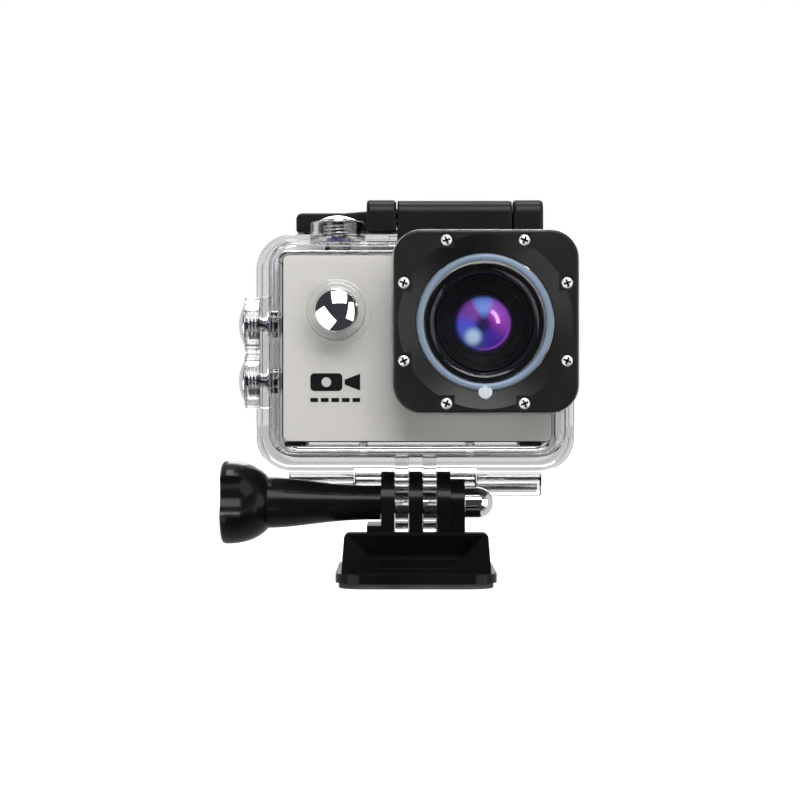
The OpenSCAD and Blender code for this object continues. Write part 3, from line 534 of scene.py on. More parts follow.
BLACK = (0.004, 0.004, 0.0046)
MATERIALS = {
    "black_satin": moulded("black_satin", BLACK, 0.2, depth=0.002, Specular_IOR_Level=0.16),
    "latch_black": moulded("latch_black", (0.005, 0.005, 0.0055), 0.36, depth=0.002,
                           Specular_IOR_Level=0.18),
    "bezel_black": moulded("bezel_black", (0.0055, 0.0055, 0.006), 0.36, depth=0.002,
                           Specular_IOR_Level=0.28),
    "adhesive_foam": moulded("adhesive_foam", (0.05, 0.05, 0.055), 0.8, grain=0.3, depth=0.05),
    "chrome": polished_metal("chrome", (0.86, 0.87, 0.89), 0.035),
    "steel": polished_metal("steel", (0.66, 0.67, 0.69), 0.2, 0.004),
    "screw_steel": polished_metal("screw_steel", (0.85, 0.85, 0.86), 0.34, 0.001, 0.7),
    "clear_plastic": clear_plastic("clear_plastic", (0.865, 0.87, 0.87), 1.52),
    "window_glass": clear_plastic("window_glass", (0.985, 0.99, 1.0), 1.45, 0.005),
    "blue_seal": moulded("blue_seal", (0.135, 0.185, 0.255), 0.35, grain=0.8, depth=0.004, vary=0.08),
    "seal_lug": moulded("seal_lug", (0.42, 0.45, 0.48), 0.35, grain=0.8, depth=0.004, vary=0.05),
    "white_rubber": moulded("white_rubber", (0.74, 0.75, 0.77), 0.5, grain=0.5, depth=0.01, vary=0.04),
    "dark_rubber": moulded("dark_rubber", (0.035, 0.035, 0.15), 0.42, grain=0.5, depth=0.008),
    "pad_rubber": moulded("pad_rubber", (0.03, 0.03, 0.034), 0.5, grain=0.5, depth=0.008),
    "silver_lacquer": silver_lacquer(),
    "camera_black": moulded("camera_black", (0.005, 0.005, 0.0055), 0.42, depth=0.004,
                            Specular_IOR_Level=0.18),
    "screen_black": moulded("screen_black", (0.006, 0.006, 0.008), 0.08, grain=6, depth=0.0005),
    "screen_metal": polished_metal("screen_metal", (0.5, 0.51, 0.53), 0.35),
    "print_black": moulded("print_black", (0.004, 0.004, 0.004), 0.6, depth=0.001, Specular_IOR_Level=0.1),
    "lens_gloss": moulded("lens_gloss", (0.002, 0.002, 0.0025), 0.08, grain=5, depth=0.0005),
    "lens_matte": moulded("lens_matte", (0.002, 0.002, 0.0025), 0.45, grain=2, depth=0.0005,
                          Specular_IOR_Level=0.04),
    "lens_glass": lens_painted_reflections(),
    "sensor": moulded("sensor", (0.06, 0.045, 0.1), 0.12, grain=0.1, depth=0.001),
    "board_green": circuit_board(),
    "battery_wrap": moulded("battery_wrap", (0.05, 0.08, 0.22), 0.3, grain=2, depth=0.02),
    "card_black": moulded("card_black", (0.015, 0.015, 0.017), 0.5),
}


def dress_cad_nodes():
    """Every CAD node takes its slot's material."""
    slots = {part["node"]: part["material_slot"] for part in frame["record"]["subparts"]}
    for name, obj in NODES.items():
        obj.data.materials.clear()
        obj.data.materials.append(MATERIALS["pad_rubber" if name == "door_pads" else slots[name]])


# ---------------------------------------------------------------- camera, light and floor

def make_camera():
    """The eye is level, 0.48 m in front of the camera's face."""
    data = bpy.data.cameras.new("photo_camera")
    data.lens, data.sensor_width = 98.7, 36
    data.clip_start, data.clip_end = 0.01, 20
    camera = bpy.data.objects.new("photo_camera", data)
    camera.location = Vector((-3.5, -490.5, 40.65)) * MM
    camera.rotation_euler = (math.pi / 2, 0, 0)
    bpy.context.scene.collection.objects.link(camera)
    bpy.context.scene.camera = camera


def softbox(name, location, target, size, power, roll=0.0):
    """A rectangular lamp turned towards a target, and turned in its own plane by roll."""
    data = bpy.data.lights.new(name, "AREA")
    data.shape, data.size, data.size_y = "RECTANGLE", size[0], size[1]
    data.energy = power
    lamp = bpy.data.objects.new(name, data)
    lamp.location = location
    facing = (Vector(target) - Vector(location)).to_track_quat("-Z", "Y").to_matrix()
    lamp.rotation_euler = (facing @ Matrix.Rotation(roll, 3, "Z")).to_euler()
    lamp.visible_camera = False
    bpy.context.scene.collection.objects.link(lamp)


def make_lights():
    """One large box above the lens's side and two at its sides, as the polished button shows them."""
    aim = (0, 0, 0.05)
    softbox("key_box", (0.10, -0.68, 0.63), aim, (0.62, 0.56), 7.5)
    softbox("left_box", (-0.50, -0.66, -0.26), aim, (0.76, 0.94), 4.3, 0.6)
    softbox("right_box", (0.74, -0.52, 0.02), aim, (0.84, 0.80), 3.7, -0.2)
    softbox("top_box", (0.0, 0.05, 0.80), aim, (0.35, 0.25), 2.5)
    softbox("back_box", (0.1, 0.8, 0.5), aim, (0.5, 0.4), 3)


def ray_kinds(tree):
    """Sockets that are 1 for rays straight from the eye, through clear pieces, and off a mirror."""
    path = tree.nodes.new("ShaderNodeLightPath")

    def clamped(operation, a, b):
        node = tree.nodes.new("ShaderNodeMath")
        node.operation, node.use_clamp = operation, True
        for socket, value in zip(node.inputs, (a, b)):
            if isinstance(value, (int, float)):
                socket.default_value = value
            else:
                tree.links.new(value, socket)
        return node.outputs[0]

    bounced = clamped("ADD", path.outputs["Glossy Depth"], path.outputs["Diffuse Depth"])
    clear = clamped("SUBTRACT", path.outputs["Is Transmission Ray"], bounced)
    dull = clamped("ADD", path.outputs["Diffuse Depth"], 0)
    mirror = clamped("SUBTRACT", clamped("ADD", path.outputs["Glossy Depth"], 0), dull)
    return path.outputs["Is Camera Ray"], clear, mirror


def make_world():
    """White where the eye looks, and a studio with dark flags for what surfaces reflect and refract."""
    world = bpy.data.worlds.new("studio")
    world.use_nodes = True
    bpy.context.scene.world = world
    tree = world.node_tree
    tree.nodes.clear()

    def add(kind, **settings):
        node = tree.nodes.new(kind)
        for key, value in settings.items():
            setattr(node, key, value)
        return node

    where = add("ShaderNodeTexCoord").outputs["Generated"]
    split = add("ShaderNodeSeparateXYZ")
    tree.links.new(where, split.inputs["Vector"])
    # twice the product of the level directions is 1 half way between two views, so the flags stand there
    product = add("ShaderNodeMath", operation="MULTIPLY")
    tree.links.new(split.outputs["X"], product.inputs[0])
    tree.links.new(split.outputs["Y"], product.inputs[1])
    size = add("ShaderNodeMath", operation="ABSOLUTE")
    tree.links.new(product.outputs[0], size.inputs[0])
    flags = add("ShaderNodeValToRGB")
    flags.color_ramp.elements[0].position, flags.color_ramp.elements[0].color = 0.22, (1, 1, 1, 1)
    flags.color_ramp.elements[1].position, flags.color_ramp.elements[1].color = 0.40, (0.16, 0.16, 0.17, 1)
    tree.links.new(size.outputs[0], flags.inputs["Fac"])
    height = add("ShaderNodeMath", operation="ABSOLUTE")
    tree.links.new(split.outputs["Z"], height.inputs[0])
    bands = add("ShaderNodeValToRGB")
    bands.color_ramp.elements[0].position, bands.color_ramp.elements[0].color = 0.34, (1, 1, 1, 1)
    bands.color_ramp.elements[1].position, bands.color_ramp.elements[1].color = 0.60, (0.40, 0.40, 0.41, 1)
    tree.links.new(height.outputs[0], bands.inputs["Fac"])
    shade = add("ShaderNodeMix", data_type="RGBA", blend_type="MULTIPLY")
    shade.inputs["Factor"].default_value = 1
    tree.links.new(flags.outputs["Color"], shade.inputs["A"])
    tree.links.new(bands.outputs["Color"], shade.inputs["B"])

    # polished surfaces see a dark room in front of the object and the white backdrop behind it
    behind = add("ShaderNodeMapRange")
    behind.inputs["From Min"].default_value, behind.inputs["From Max"].default_value = -0.55, 0.0
    tree.links.new(split.outputs["Y"], behind.inputs["Value"])
    room = add("ShaderNodeValToRGB")
    room.color_ramp.elements[0].position, room.color_ramp.elements[0].color = 0.1, (0.045, 0.045, 0.05, 1)
    room.color_ramp.elements[1].position, room.color_ramp.elements[1].color = 0.9, (0.62, 0.62, 0.62, 1)
    tree.links.new(behind.outputs["Result"], room.inputs["Fac"])

    is_camera, is_clear, is_mirror = ray_kinds(tree)
    levels = (
        ("camera", 1.0, None),
        ("clear", 1.0, shade.outputs["Result"]),
        ("mirror", 1.0, room.outputs["Color"]),
        ("dull", 0.70, None),
    )
    backs = {}
    for name, strength, colour in levels:
        back = add("ShaderNodeBackground")
        back.inputs["Color"].default_value = (1, 1, 1, 1)
        back.inputs["Strength"].default_value = strength
        if colour:
            tree.links.new(colour, back.inputs["Color"])
        backs[name] = back.outputs["Background"]

    result = backs["dull"]
    for kind, name in ((is_mirror, "mirror"), (is_clear, "clear"), (is_camera, "camera")):
        mix = add("ShaderNodeMixShader")
        tree.links.new(kind, mix.inputs["Fac"])
        tree.links.new(result, mix.inputs[1])
        tree.links.new(backs[name], mix.inputs[2])
        result = mix.outputs["Shader"]
    output = add("ShaderNodeOutputWorld")
    tree.links.new(result, output.inputs["Surface"])


def make_floor():
    """A pale sheet that glows enough to meet the white background, and less seen through clear pieces.

    Mirror-like surfaces do not see it.
    """
    size = 3000
    seen_through_clear = 0.45
    corners = [(-size, -size, 0), (size, -size, 0), (size, size, 0), (-size, size, 0)]
    floor = new_object("floor", corners, [(0, 1, 2, 3)])
    s = Shader("floor_paper", (0.30, 0.30, 0.30), 0.9)
    s.set("Specular IOR Level", 0.0)
    s.set("Emission Color", (1, 1, 1, 1))
    is_camera, is_clear, is_mirror = ray_kinds(s.tree)
    seen = s.add("ShaderNodeMath", operation="MULTIPLY_ADD")
    s.link(is_clear, seen.inputs[0])
    seen.inputs[1].default_value = seen_through_clear
    s.link(is_camera, seen.inputs[2])
    glow = s.add("ShaderNodeMapRange")
    glow.inputs["To Min"].default_value, glow.inputs["To Max"].default_value = 0.22, 0.93
    s.link(seen.outputs[0], glow.inputs["Value"])
    s.link(glow.outputs["Result"], s.bsdf.inputs["Emission Strength"])
    through = s.add("ShaderNodeBsdfTransparent")
    mix = s.add("ShaderNodeMixShader")
    s.link(is_mirror, mix.inputs["Fac"])
    s.link(s.bsdf.outputs["BSDF"], mix.inputs[1])
    s.link(through.outputs["BSDF"], mix.inputs[2])
    s.link(mix.outputs["Shader"], s.tree.nodes["Material Output"].inputs["Surface"])
    floor.data.materials.append(s.material)


# ---------------------------------------------------------------- the clear housing

CAVITY_C = ((CAM_LOW.x + CAM_HIGH.x) / 2, (CAM_LOW.z - 0.25 + CAM_HIGH.z + CAM_GAP) / 2)
CAVITY_S = (CAM_HIGH.x - CAM_LOW.x + 2 * CAM_GAP, CAM_HIGH.z + CAM_GAP - CAM_LOW.z + 0.25)
CAVITY_R = 2.0
BOX_R = 5.5
INNER_Y = PANEL_LOW.y - CAM_GAP
OUTER_Y = INNER_Y - WALL
DOOR_LOW, DOOR_HIGH = span("back_door")
BEZEL_LOW, BEZEL_HIGH = span("lens_bezel")
PORT_C = ((BEZEL_LOW.x + BEZEL_HIGH.x) / 2, (BEZEL_LOW.z + BEZEL_HIGH.z) / 2)
BEZEL_S = (BEZEL_HIGH.x - BEZEL_LOW.x, BEZEL_HIGH.z - BEZEL_LOW.z)
PORT_Y = BEZEL_HIGH.y
HINGE_Y, HINGE_Z = (v / MM for v in JOINTS["door_swing"]["pos_m"][1:])
LATCH_Y, LATCH_Z = (v / MM for v in JOINTS["latch_lift"]["pos_m"][1:])
FLANGE_C = (0, 51.35)
FLANGE_S = (72.3, 54.1)
FLANGE_R = 8
FLANGE_Y = (7.6, 10.4)
HINGE_R = 2.3
PIN_BORE = 1.05
KNUCKLE = 14
BLOCK_SCREWS = (-0.1, 17.3)


def grown(size, by):
    return (size[0] + 2 * by, size[1] + 2 * by)


def well_floor(button, floor):
    """The point on a button's axis where its well's floor is, and the axis it points along."""
    c = middle(button)
    if button == "front_button":
        return (c.x, floor, c.z), "-y"
    if button == "top_button":
        return (c.x, c.y, floor), "z"
    return (floor, c.y, c.z), "-x"


WELLS = {
    "front_button": well_floor("front_button", OUTER_Y - 0.6),
    "top_button": well_floor("top_button", 76.85),
    "upper_side_button": well_floor("upper_side_button", -34.5),
    "lower_side_button": well_floor("lower_side_button", -34.5),
}
WELL_WALL = {"front_button": 2.6, "top_button": 3.55, "upper_side_button": 4.35, "lower_side_button": 4.35}


def collar(name, button, r, height, foot, lip=0.45):
    """A button's collar, from foot under the well's floor to height above it, with a rounded lip."""
    top = [(r - lip + lip * math.sin(a), height - lip + lip * math.cos(a)) for a in EDGE_TURNS]
    return place(turned(name, [(0, -foot), (r, -foot)] + top[::-1] + [(0, height)]), *WELLS[button])


def front_collar():
    """The front button's collar: a low swelling that rises to a rounded rim."""
    low, rim = (7.6, 0.5), (6.4, 2.6)
    sunk, fillet, lip_r = 1.2, 0.5, 0.6
    turns = (0, 0.6, 1.1, math.pi / 2)
    swell = [(low[0] - 0.1 + 0.1 * math.cos(a), low[1] - fillet + fillet * math.sin(a)) for a in turns]
    foot = [(rim[0] + fillet - fillet * math.sin(a), low[1] + fillet - fillet * math.cos(a)) for a in turns]
    lip = [(rim[0] - lip_r + lip_r * math.cos(a), rim[1] - lip_r + lip_r * math.sin(a)) for a in EDGE_TURNS]
    profile = [(0, -sunk), (low[0], -sunk)] + swell + foot + lip + [(0, rim[1])]
    return place(turned("ring", profile), *WELLS["front_button"])


def button_cut(name, button, r_well):
    """What a button takes out of the shell: well, stem bore, seal groove and clip recess, in one."""
    wall = WELL_WALL[button]
    seal = 0.4 if wall < 3 else 0.55
    top = -(1.6 if wall > 4 else 0.25)
    low = top - 2 * seal - 0.1
    recess = -wall + (0.5 if button == "front_button" else 0.7) + 0.45
    bore, clip_r, groove_r, above = 1.55, 3.0, 1.6 + 2 * seal, 9
    profile = [(0, -wall - 1), (clip_r, -wall - 1), (clip_r, recess), (bore, recess), (bore, low),
               (groove_r, low), (groove_r, top), (bore, top), (bore, 0),
               (r_well - 0.3, 0), (r_well, 0.3), (r_well, above), (0, above)]
    return place(turned(name, profile), *WELLS[button])


def clear_finger(x):
    """One of the two fingers that stand between the buckle's prongs."""
    finger_r, half_thick = 7, 1.5
    root = CAVITY_C[1] - CAVITY_S[1] / 2 - WALL + 0.5
    outline = arc(0, AXIS_Z, finger_r, 0, -180, 32) + [(-finger_r, root), (finger_r, root)]
    return prism("finger", outline, x - half_thick, x + half_thick, 0.25)


def knuckle(name, x0, x1, y0, y1):
    """A hinge knuckle round the pin, with its web up to a flange between depths y0 and y1."""
    edge = FLANGE_C[1] - FLANGE_S[1] / 2
    web = [(y0 + 0.02, edge + 1), (y1 - 0.02, edge + 1), (y1 - 0.02, edge - 0.5),
           (max(y1, HINGE_Y), HINGE_Z + HINGE_R - 0.2), (HINGE_Y, HINGE_Z), (HINGE_Y - HINGE_R, HINGE_Z)]
    barrel = rod(name, HINGE_R, x1 - x0, (x0, HINGE_Y, HINGE_Z), "x", edge=0.25)
    return combine(barrel, prism("web", web, x0 + 0.02, x1 - 0.02), "UNION")


def screw_spots():
    """Where the bezel's eight screws are, in X and Z, each with the direction of its side."""
    near, far = 8.3, 17.4
    spots = []
    for quarter in range(4):
        a = quarter * math.pi / 2
        out = (math.sin(a), math.cos(a))
        along = (math.cos(a), -math.sin(a))
        for s in (-1, 1):
            x = LENS.x + s * near * along[0] + far * out[0]
            z = LENS.z + s * near * along[1] + far * out[1]
            spots.append((x, z, out))
    return spots


def clear_shell():
    """The housing's front half."""
    box_s = grown(CAVITY_S, WALL)
    front = edge_stations(OUTER_Y, 1, 1.5, 7)
    neck_r = 0.8
    neck = [(FLANGE_Y[0] - neck_r + neck_r * math.sin(a), -neck_r * (1 - math.cos(a)))
            for a in (0, 0.4, 0.8, 1.2, math.pi / 2)]
    rings = outline_rings(CAVITY_C, box_s, BOX_R, front + neck)
    flange = [(y, i + 1.3) for y, i in edge_stations(FLANGE_Y[0], 1, 0.35)] + [(8.45, 1.3), (8.6, 1.15)]
    flange += edge_stations(8.6, 1, 0.5) + edge_stations(FLANGE_Y[1], -1, 0.3)[::-1]
    rings += outline_rings(FLANGE_C, FLANGE_S, FLANGE_R, flange)
    mouth = [(FLANGE_Y[1], -0.3), (FLANGE_Y[1] - 0.3, 0)]
    inside = edge_stations(INNER_Y, 1, 0.35)[::-1]
    rings += outline_rings(CAVITY_C, CAVITY_S, CAVITY_R, mouth + inside)
    shell = loft("front_shell", rings)

    port = soft_plate("port", PORT_C, grown(BEZEL_S, 0.35), 6.4, PORT_Y, INNER_Y + 0.02, 0.5, 0.0001)
    combine(shell, port, "UNION")
    # the part of the port that stands proud of the box's top and side runs on towards the back
    proud = soft_plate("proud", PORT_C, grown(BEZEL_S, 0.35), 6.4, PORT_Y + 3, -8.5, 0.5, 0.8)
    core = loft("core", outline_rings(CAVITY_C, grown(CAVITY_S, 1), 3.4, [(INNER_Y - 1, 0), (0, 0)]))
    combine(proud, core, "DIFFERENCE")
    combine(shell, proud, "UNION")

    combine(shell, front_collar(), "UNION")
    collar_r, collar_height = 6.2, 3.45
    combine(shell, collar("ring", "top_button", collar_r, collar_height, 2.5), "UNION")
    for button in ("upper_side_button", "lower_side_button"):
        combine(shell, collar("ring", button, collar_r, collar_height, 3.0), "UNION")
    pad_x = (-34.5, CAVITY_C[0] - box_s[0] / 2 + 0.3)
    pad = block("pad", (pad_x[0], -7.2, middle("lower_side_button").z - 6.2),
                (pad_x[1], 5.2, middle("upper_side_button").z + 6.2), 0.6)
    combine(shell, pad, "UNION")
    finger_x, rib_x, rib_half = 3.1, (-11.6, 12), 0.9
    for x in (-finger_x, finger_x):
        combine(shell, clear_finger(x), "UNION")
    combine(shell, knuckle("knuckle", -KNUCKLE + 0.1, KNUCKLE - 0.1, *FLANGE_Y), "UNION")
    floor = CAVITY_C[1] - CAVITY_S[1] / 2
    roof = CAVITY_C[1] + CAVITY_S[1] / 2
    for x in rib_x:
        rib = block("rib", (x - rib_half, -9, floor - 0.3), (x + rib_half, 9, floor + 1.05), 0.2)
        combine(shell, rib, "UNION")
    x = rib_x[0]
    rib = block("rib", (x - rib_half, -9, roof - 0.75), (x + rib_half, 9, roof + 0.3), 0.2)
    combine(shell, rib, "UNION")

    well_r = {"front_button": 5.2, "top_button": 4.5, "upper_side_button": 4.5, "lower_side_button": 4.5}
    for button, r in well_r.items():
        combine(shell, button_cut("cut", button, r), "DIFFERENCE")
    tunnel = [(0, 5), (13.6, 5), (13.6, 19.95), (14.7, 19.95),
              (14.7, 21.1), (15.1, 21.6), (15.1, 23), (0, 23)]
    combine(shell, place(turned("cut", tunnel, 128), (LENS.x, 0, LENS.z), "-y"), "DIFFERENCE")
    screw_bore, bolt_bore = 0.8, 2.55
    for x in BLOCK_SCREWS:
        combine(shell, rod("cut", screw_bore, 5, (x, 0, roof + 0.5), "z", 32), "DIFFERENCE")
    combine(shell, rod("cut", bolt_bore, 16, (-8, 0, AXIS_Z), "x"), "DIFFERENCE")
    combine(shell, rod("cut", PIN_BORE, 40, (-20, HINGE_Y, HINGE_Z), "x"), "DIFFERENCE")
    for x, z, _ in screw_spots():
        combine(shell, rod("cut", screw_bore, 5.4, (x, PORT_Y + 4.4, z), "-y", 24), "DIFFERENCE")
    smooth(shell)
    return finish_piece(shell, "housing", "clear_plastic", MATERIALS["clear_plastic"], "front_shell")


def clear_door():
    """The housing's back: a flange with the gasket's groove, a raised back wall and the latch's rib."""
    y0, y1, y2 = DOOR_LOW.y, 13.3, DOOR_HIGH.y
    raised = edge_stations(y2, -1, 0.9)
    raised += [(y1 + 0.5, 0), (y1 + 0.15, -0.15), (y1, -0.5)]
    rings = outline_rings(CAVITY_C, grown(CAVITY_S, 0.8), 5, raised)
    step = [(y, i + 1.3) for y, i in edge_stations(y1, -1, 0.35)] + [(12.4, 1.3), (12.3, 1.15)]
    step += edge_stations(12.3, -1, 0.5) + edge_stations(y0, 1, 0.3)[::-1]
    rings += outline_rings(FLANGE_C, FLANGE_S, FLANGE_R, step)
    for grow, r, ys in ((2.6, 6, (y0, y0 + 1.4)), (1.0, 4.4, (y0 + 1.4, y0))):
        rings += outline_rings(CAVITY_C, grown(CAVITY_S, grow), r, [(y, 0) for y in ys])
    inside = [(y0, -0.2), (y0 + 0.2, 0)] + edge_stations(14.2, -1, 0.8)[::-1]
    rings += outline_rings(CAVITY_C, CAVITY_S, CAVITY_R, inside)
    door = loft("back_door", rings)
    top = FLANGE_C[1] + FLANGE_S[1] / 2
    rib = [(11.2, top - 1), (11.2, 80.4), (12.4, 80.4), (15.2, 78.8), (15.2, top - 4.5)]
    combine(door, prism("rib", rib, -6, 24, 0.15), "UNION")
    for x0, x1 in ((-28.9, -KNUCKLE - 0.1), (KNUCKLE + 0.1, 28.9)):
        combine(door, knuckle("knuckle", x0, x1, y0, y1), "UNION")
    for x in (-27.9, 10):
        combine(door, rod("cut", PIN_BORE, 17.9, (x, HINGE_Y, HINGE_Z), "x"), "DIFFERENCE")
    smooth(door)
    return finish_piece(door, "door", "clear_plastic", MATERIALS["clear_plastic"], "back_door")


# ---------------------------------------------------------------- the lens port's black bezel and seal

def bezel():
    """Square frame with a dished middle that small square bosses round the screws stand out of."""
    frame_plate = soft_plate("lens_bezel", PORT_C, BEZEL_S, 6, BEZEL_LOW.y, BEZEL_HIGH.y, 0.55, 0.15)
    face = -BEZEL_LOW.y
    dish = [(0, face - 4), (14.75, face - 4), (14.75, face - 2.1), (15.0, face - 1.85),
            (18.35, face - 0.12), (18.6, face), (19.2, face + 1), (0, face + 1)]
    cutter = place(turned("dish", dish, 144), (LENS.x, 0, LENS.z), "-y")
    for x, z, out in screw_spots():
        reach = Vector((out[0], 0, out[1]))
        side = Vector((abs(out[1]), 0, abs(out[0]))) * 1.7
        a = Vector((x, 0, z)) - reach * 1.75
        b = Vector((x, 0, z)) + reach * 4
        low = Vector(map(min, a - side, b - side))
        high = Vector(map(max, a + side, b + side))
        low.y, high.y = BEZEL_LOW.y - 2, BEZEL_HIGH.y + 2
        combine(cutter, block("boss", low, high), "DIFFERENCE")
    combine(frame_plate, cutter, "DIFFERENCE")
    hole = [(0, -1), (0.85, -1), (0.85, 1.72), (1.43, 1.72), (1.43, 2.68), (1.58, 2.83), (1.58, 4), (0, 4)]
    for x, z, _ in screw_spots():
        combine(frame_plate, place(turned("hole", hole, 48), (x, BEZEL_HIGH.y, z), "-y"), "DIFFERENCE")
    notch = rod("notch", 1.62, 6, (LENS.x, BEZEL_HIGH.y + 1, LENS.z - 15.05), "-y", 48)
    combine(frame_plate, notch, "DIFFERENCE")
    smooth(frame_plate, 25)
    return finish_piece(frame_plate, "housing", "bezel_black", MATERIALS["bezel_black"], "lens_bezel")


def screw_heads():
    """The bezel's eight cross-head screws, each turned a little differently, with black bars sunk in the cross
    slots as painted shade.
    """
    low, high = span("bezel_screws")
    length = high.y - low.y
    heads, slot_shades = [], []
    for i, (x, z, _) in enumerate(screw_spots()):
        profile = [(0, 0), (0.75, 0), (0.75, length - 0.9), (1.26, length - 0.9), (1.3, length - 0.75)]
        profile += [(1.3 * math.cos(a), length - 0.38 + 0.36 * math.sin(a))
                    for a in (0, 0.35, 0.7, 1.05, 1.35)]
        head = turned("screw", profile + [(0, length)], 40)
        for quarter in (0, 1):
            turn = Matrix.Rotation(0.35 + 0.8 * i + quarter * math.pi / 2, 4, "Z")
            slot = block("slot", (-0.86, -0.22, length - 0.6), (0.86, 0.22, length + 1))
            slot.data.transform(turn)
            combine(head, slot, "DIFFERENCE")
            # painted shade: a black bar down in each arm of the cross slot
            bar = block("bar", (-0.84, -0.2, length - 0.6), (0.84, 0.2, length - 0.22))
            bar.data.transform(turn)
            slot_shades.append(place(bar, (x, high.y, z), "-y"))
        heads.append(place(head, (x, high.y, z), "-y"))
    screws = joined("bezel_screws", heads)
    smooth(screws, 40)
    finish_piece(screws, "housing", "steel", MATERIALS["screw_steel"], "bezel_screws")
    # the black bars are painted shade inside the cross slots
    finish_piece(joined("screw_slot_painted_shade", slot_shades), "housing", "steel", MATERIALS["print_black"])


def seal():
    """Soft ring on the window's rim, with its lug at the bottom as a piece of its own."""
    low, high = span("window_seal")
    inner, outer = 13.15, 14.62
    mid, half = (inner + outer) / 2, (outer - inner) / 2
    rise = high.y - low.y
    profile = [(inner, 0)] + [(mid + half * math.cos(a), rise * 0.45 + rise * 0.55 * math.sin(a))
                              for a in [math.pi * (1 - i / 10) for i in range(11)]] + [(outer, 0)]
    ring = place(turned("window_seal", profile, 144), (LENS.x, high.y, LENS.z), "-y")
    smooth(ring, 50)
    finish_piece(ring, "housing", "blue_seal", MATERIALS["blue_seal"], "window_seal")
    dome = [(0, 0), (1.5, 0), (1.5, rise * 0.85), (1.4, rise * 0.96), (1.2, rise), (0, rise)]
    lug = place(turned("seal_lug", dome, 48), (LENS.x, high.y, LENS.z - 15.0), "-y")
    smooth(lug, 50)
    finish_piece(lug, "housing", "blue_seal", MATERIALS["seal_lug"])


def springs():
    """The buttons' springs, copied from the CAD coils and carried by the housing; the copies do not shorten as the
    buttons go in.
    """
    for button in WELLS:
        node = button.replace("side_button", "side") + "_spring"
        coil = NODES[node]
        mesh = coil.data
        verts = [coil.matrix_world @ v.co / MM for v in mesh.vertices]
        piece = new_object(node, verts, [tuple(f.vertices) for f in mesh.polygons])
        smooth(piece, 50)
        finish_piece(piece, "housing", "steel", MATERIALS["steel"], node)
        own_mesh(piece)


# ---------------------------------------------------------------- lens

def lens_pieces():
    """Glossy trim ring, stepped barrel and domed front lens."""
    front = -span("lens_trim_ring")[0].y
    back = -span("lens_trim_ring")[1].y
    lip = [(12.45 + 0.45 * math.cos(a), front - 0.45 + 0.45 * math.sin(a)) for a in EDGE_TURNS]
    groove = [(12.1, front - 0.05), (11.95, front - 0.25)]
    cone = [(11.95 - 1.35 * t, front - 0.25 - 0.8 * t ** 1.8) for t in (0.15, 0.3, 0.45, 0.6, 0.75, 0.9)]
    profile = [(10.6, back), (12.9, back)] + lip + groove + cone + [(10.6, front - 1.85)]
    ring = turned("lens_trim_ring", profile, 160)
    place(ring, (LENS.x, 0, LENS.z), "-y")
    smooth(ring, 40)
    finish_piece(ring, "housing", "lens_gloss", MATERIALS["lens_gloss"], "lens_trim_ring")

    end = -span("lens_barrel")[1].y
    top = -span("lens_barrel")[0].y
    steps = [(10.5, top - 0.5), (10.3, top - 0.2), (10.0, top - 0.3), (9.9, top - 1.2), (9.55, top - 1.35),
             (9.45, top - 1.75), (8.75, top - 1.9), (8.65, top - 2.6), (7.2, top - 3.2), (7.05, top - 3.45),
             (6.6, top - 3.6), (6.5, top - 4.0)]
    barrel = turned("lens_barrel", [(6.5, end), (9.2, end), (9.2, 8.2), (10.5, 8.2)] + steps, 160)
    place(barrel, (LENS.x, 0, LENS.z), "-y")
    smooth(barrel, 25)
    finish_piece(barrel, "housing", "lens_matte", MATERIALS["lens_matte"], "lens_barrel")

    low, high = (-v for v in reversed([v.y for v in span("front_lens")]))
    bulge, lens_r, points = 1.5, 6.5, 16
    ball = (lens_r ** 2 + bulge ** 2) / (2 * bulge)
    rim = math.asin(lens_r / ball)
    angles = [rim * (1 - i / points) for i in range(points + 1)]
    dome = [(ball * math.sin(a), high - ball + ball * math.cos(a)) for a in angles]
    glass = place(turned("front_lens", [(0, low), (lens_r, low)] + dome, 128), (LENS.x, 0, LENS.z), "-y")
    smooth(glass, 40)
    finish_piece(glass, "housing", "lens_glass", MATERIALS["lens_glass"], "front_lens")


# ---------------------------------------------------------------- latch

def latch_block():
    """Bearing block of the latch, screwed to the shell's top wall."""
    low, high = span("latch_block")
    roof = CAVITY_C[1] + CAVITY_S[1] / 2 + WALL
    y, r = LATCH_Y, high.z - LATCH_Z
    outline = arc(y, LATCH_Z, r, 0, 180, 28)
    outline += [(y - r, roof + 0.02), (y + 5, roof + 0.02), (y + 5, roof + 1.6), (y + r, roof + 2.2)]
    piece = prism("latch_block", outline, low.x, high.x, 0.5)
    for x in BLOCK_SCREWS:
        combine(piece, rod("cut", 0.85, 4, (x, 0, roof - 1), "z", 32), "DIFFERENCE")
        combine(piece, rod("cut", 1.7, 8, (x, 0, roof + 0.9), "z", 48), "DIFFERENCE")
    combine(piece, rod("cut", 1.0, high.x - low.x + 2, (low.x - 1, y, LATCH_Z), "x", 48), "DIFFERENCE")
    smooth(piece)
    return finish_piece(piece, "housing", "latch_black", MATERIALS["latch_black"], "latch_block")


def lever_knuckle(x0, x1, r):
    """An end knuckle of the lever, round on top, with its link to the lever's plate."""
    outline = arc(LATCH_Y, LATCH_Z, r, 0, 180, 28) + [(LATCH_Y - r, 77.6), (LATCH_Y + r, 77.6)]
    link = block("link", (x0, LATCH_Y, 79.2), (x1, 4, 83.6), 0.5)
    return combine(prism("knuckle", outline, x0, x1, 0.8), link, "UNION")


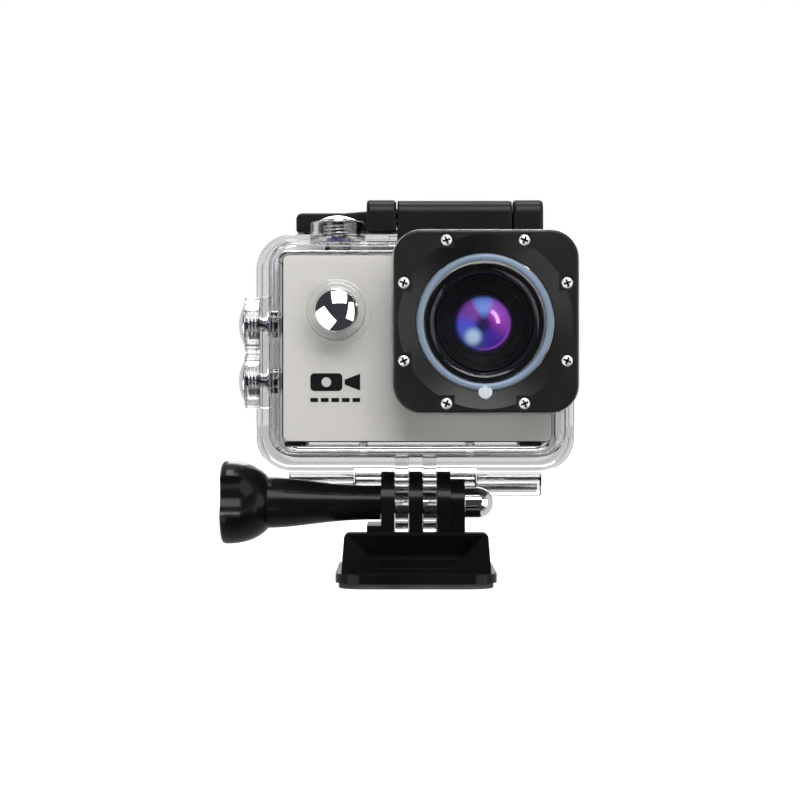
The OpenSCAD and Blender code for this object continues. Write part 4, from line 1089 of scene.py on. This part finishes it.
def latch_lever():
    """The lever: a plate with two knuckles and a thumb tab, hollow underneath, hooked behind the rib."""
    low, high = span("latch_lever")
    block_low, block_high = span("latch_block")
    right, plate_left, top, under = high.x, -10.9, 83, 78.7
    side = 0.2
    lever = block("latch_lever", (plate_left, 1.5, under), (right, 17.6, top), 0.9)
    tab = [(low.x, under), (low.x, top - 1.2), (low.x + 0.35, top - 0.35), (low.x + 1.2, top), (-16, top),
           (plate_left + 1, top + 0.5), (plate_left + 1, under)]
    combine(lever, slab("tab", tab, 6, 16, 0.5), "UNION")
    r = high.z - LATCH_Z
    for x0, x1 in ((plate_left, block_low.x - side), (block_high.x + side, right)):
        combine(lever, lever_knuckle(x0, x1, r), "UNION")
    for lo, hi in (((plate_left + 1.6, LATCH_Y + 3.95, under - 1), (right - 1.6, 16.1, top - 1.8)),
                   ((low.x + 1.6, 7.6, under - 1), (plate_left + 2, 14.4, top - 1.8)),
                   ((block_low.x - side, LATCH_Y - 4, 75), (block_high.x + side, 2.6, top + 3))):
        combine(lever, block("cut", lo, hi), "DIFFERENCE")
    bore = rod("cut", 1.05, right - plate_left - 2.4, (plate_left + 1.2, LATCH_Y, LATCH_Z), "x", 48)
    combine(lever, bore, "DIFFERENCE")
    foot, rise = 16.9, (80.4 - 78.8) / (15.2 - 12.4)
    face = 80.4 + 0.22
    heel = face - rise * (foot - 12.6)
    room = [(10, under - 2), (10, 81.2), (12.6, 81.2), (12.6, face), (foot, heel), (foot, under - 2)]
    combine(lever, prism("cut", room, plate_left - 1, right + 1), "DIFFERENCE")
    hook = [(12.6, top - 1.79), (12.6, face), (foot, heel), (17.5, heel), (17.5, top - 1.79)]
    combine(lever, prism("hook", hook, -7, 25), "UNION")
    smooth(lever)
    return finish_piece(lever, "latch", "latch_black", MATERIALS["latch_black"], "latch_lever")


# ---------------------------------------------------------------- pieces

def bevel_cad_nodes():
    """Small edge radii on the CAD nodes that stay as they are."""
    for node in ("base_mount", "mount_buckle", "thumb_knob"):
        crisp(node, 0.3)
    for node in ("clip_left", "clip_right", "camera_back_cover", "battery"):
        crisp(node, 0.22)
    for node in ("camera_front_panel", "camera_frame", "camera_screen",
                 "door_pads", "cap_nut", "adhesive_pad"):
        crisp(node, 0.15)
    done = {n for n, o in NODES.items() if o.modifiers}
    for node in sorted(set(NODES) - done):
        crisp(node, 0)


dress_cad_nodes()
bevel_cad_nodes()
clear_shell()
clear_door()
bezel()
screw_heads()
seal()
springs()
lens_pieces()
latch_block()
latch_lever()
make_camera()
make_lights()
make_world()
make_floor()

bpy.context.scene.view_settings.view_transform = "Standard"
bpy.context.scene.cycles.transmission_bounces = 16
bpy.context.scene.cycles.max_bounces = 20
bpy.context.scene.cycles.transparent_max_bounces = 16
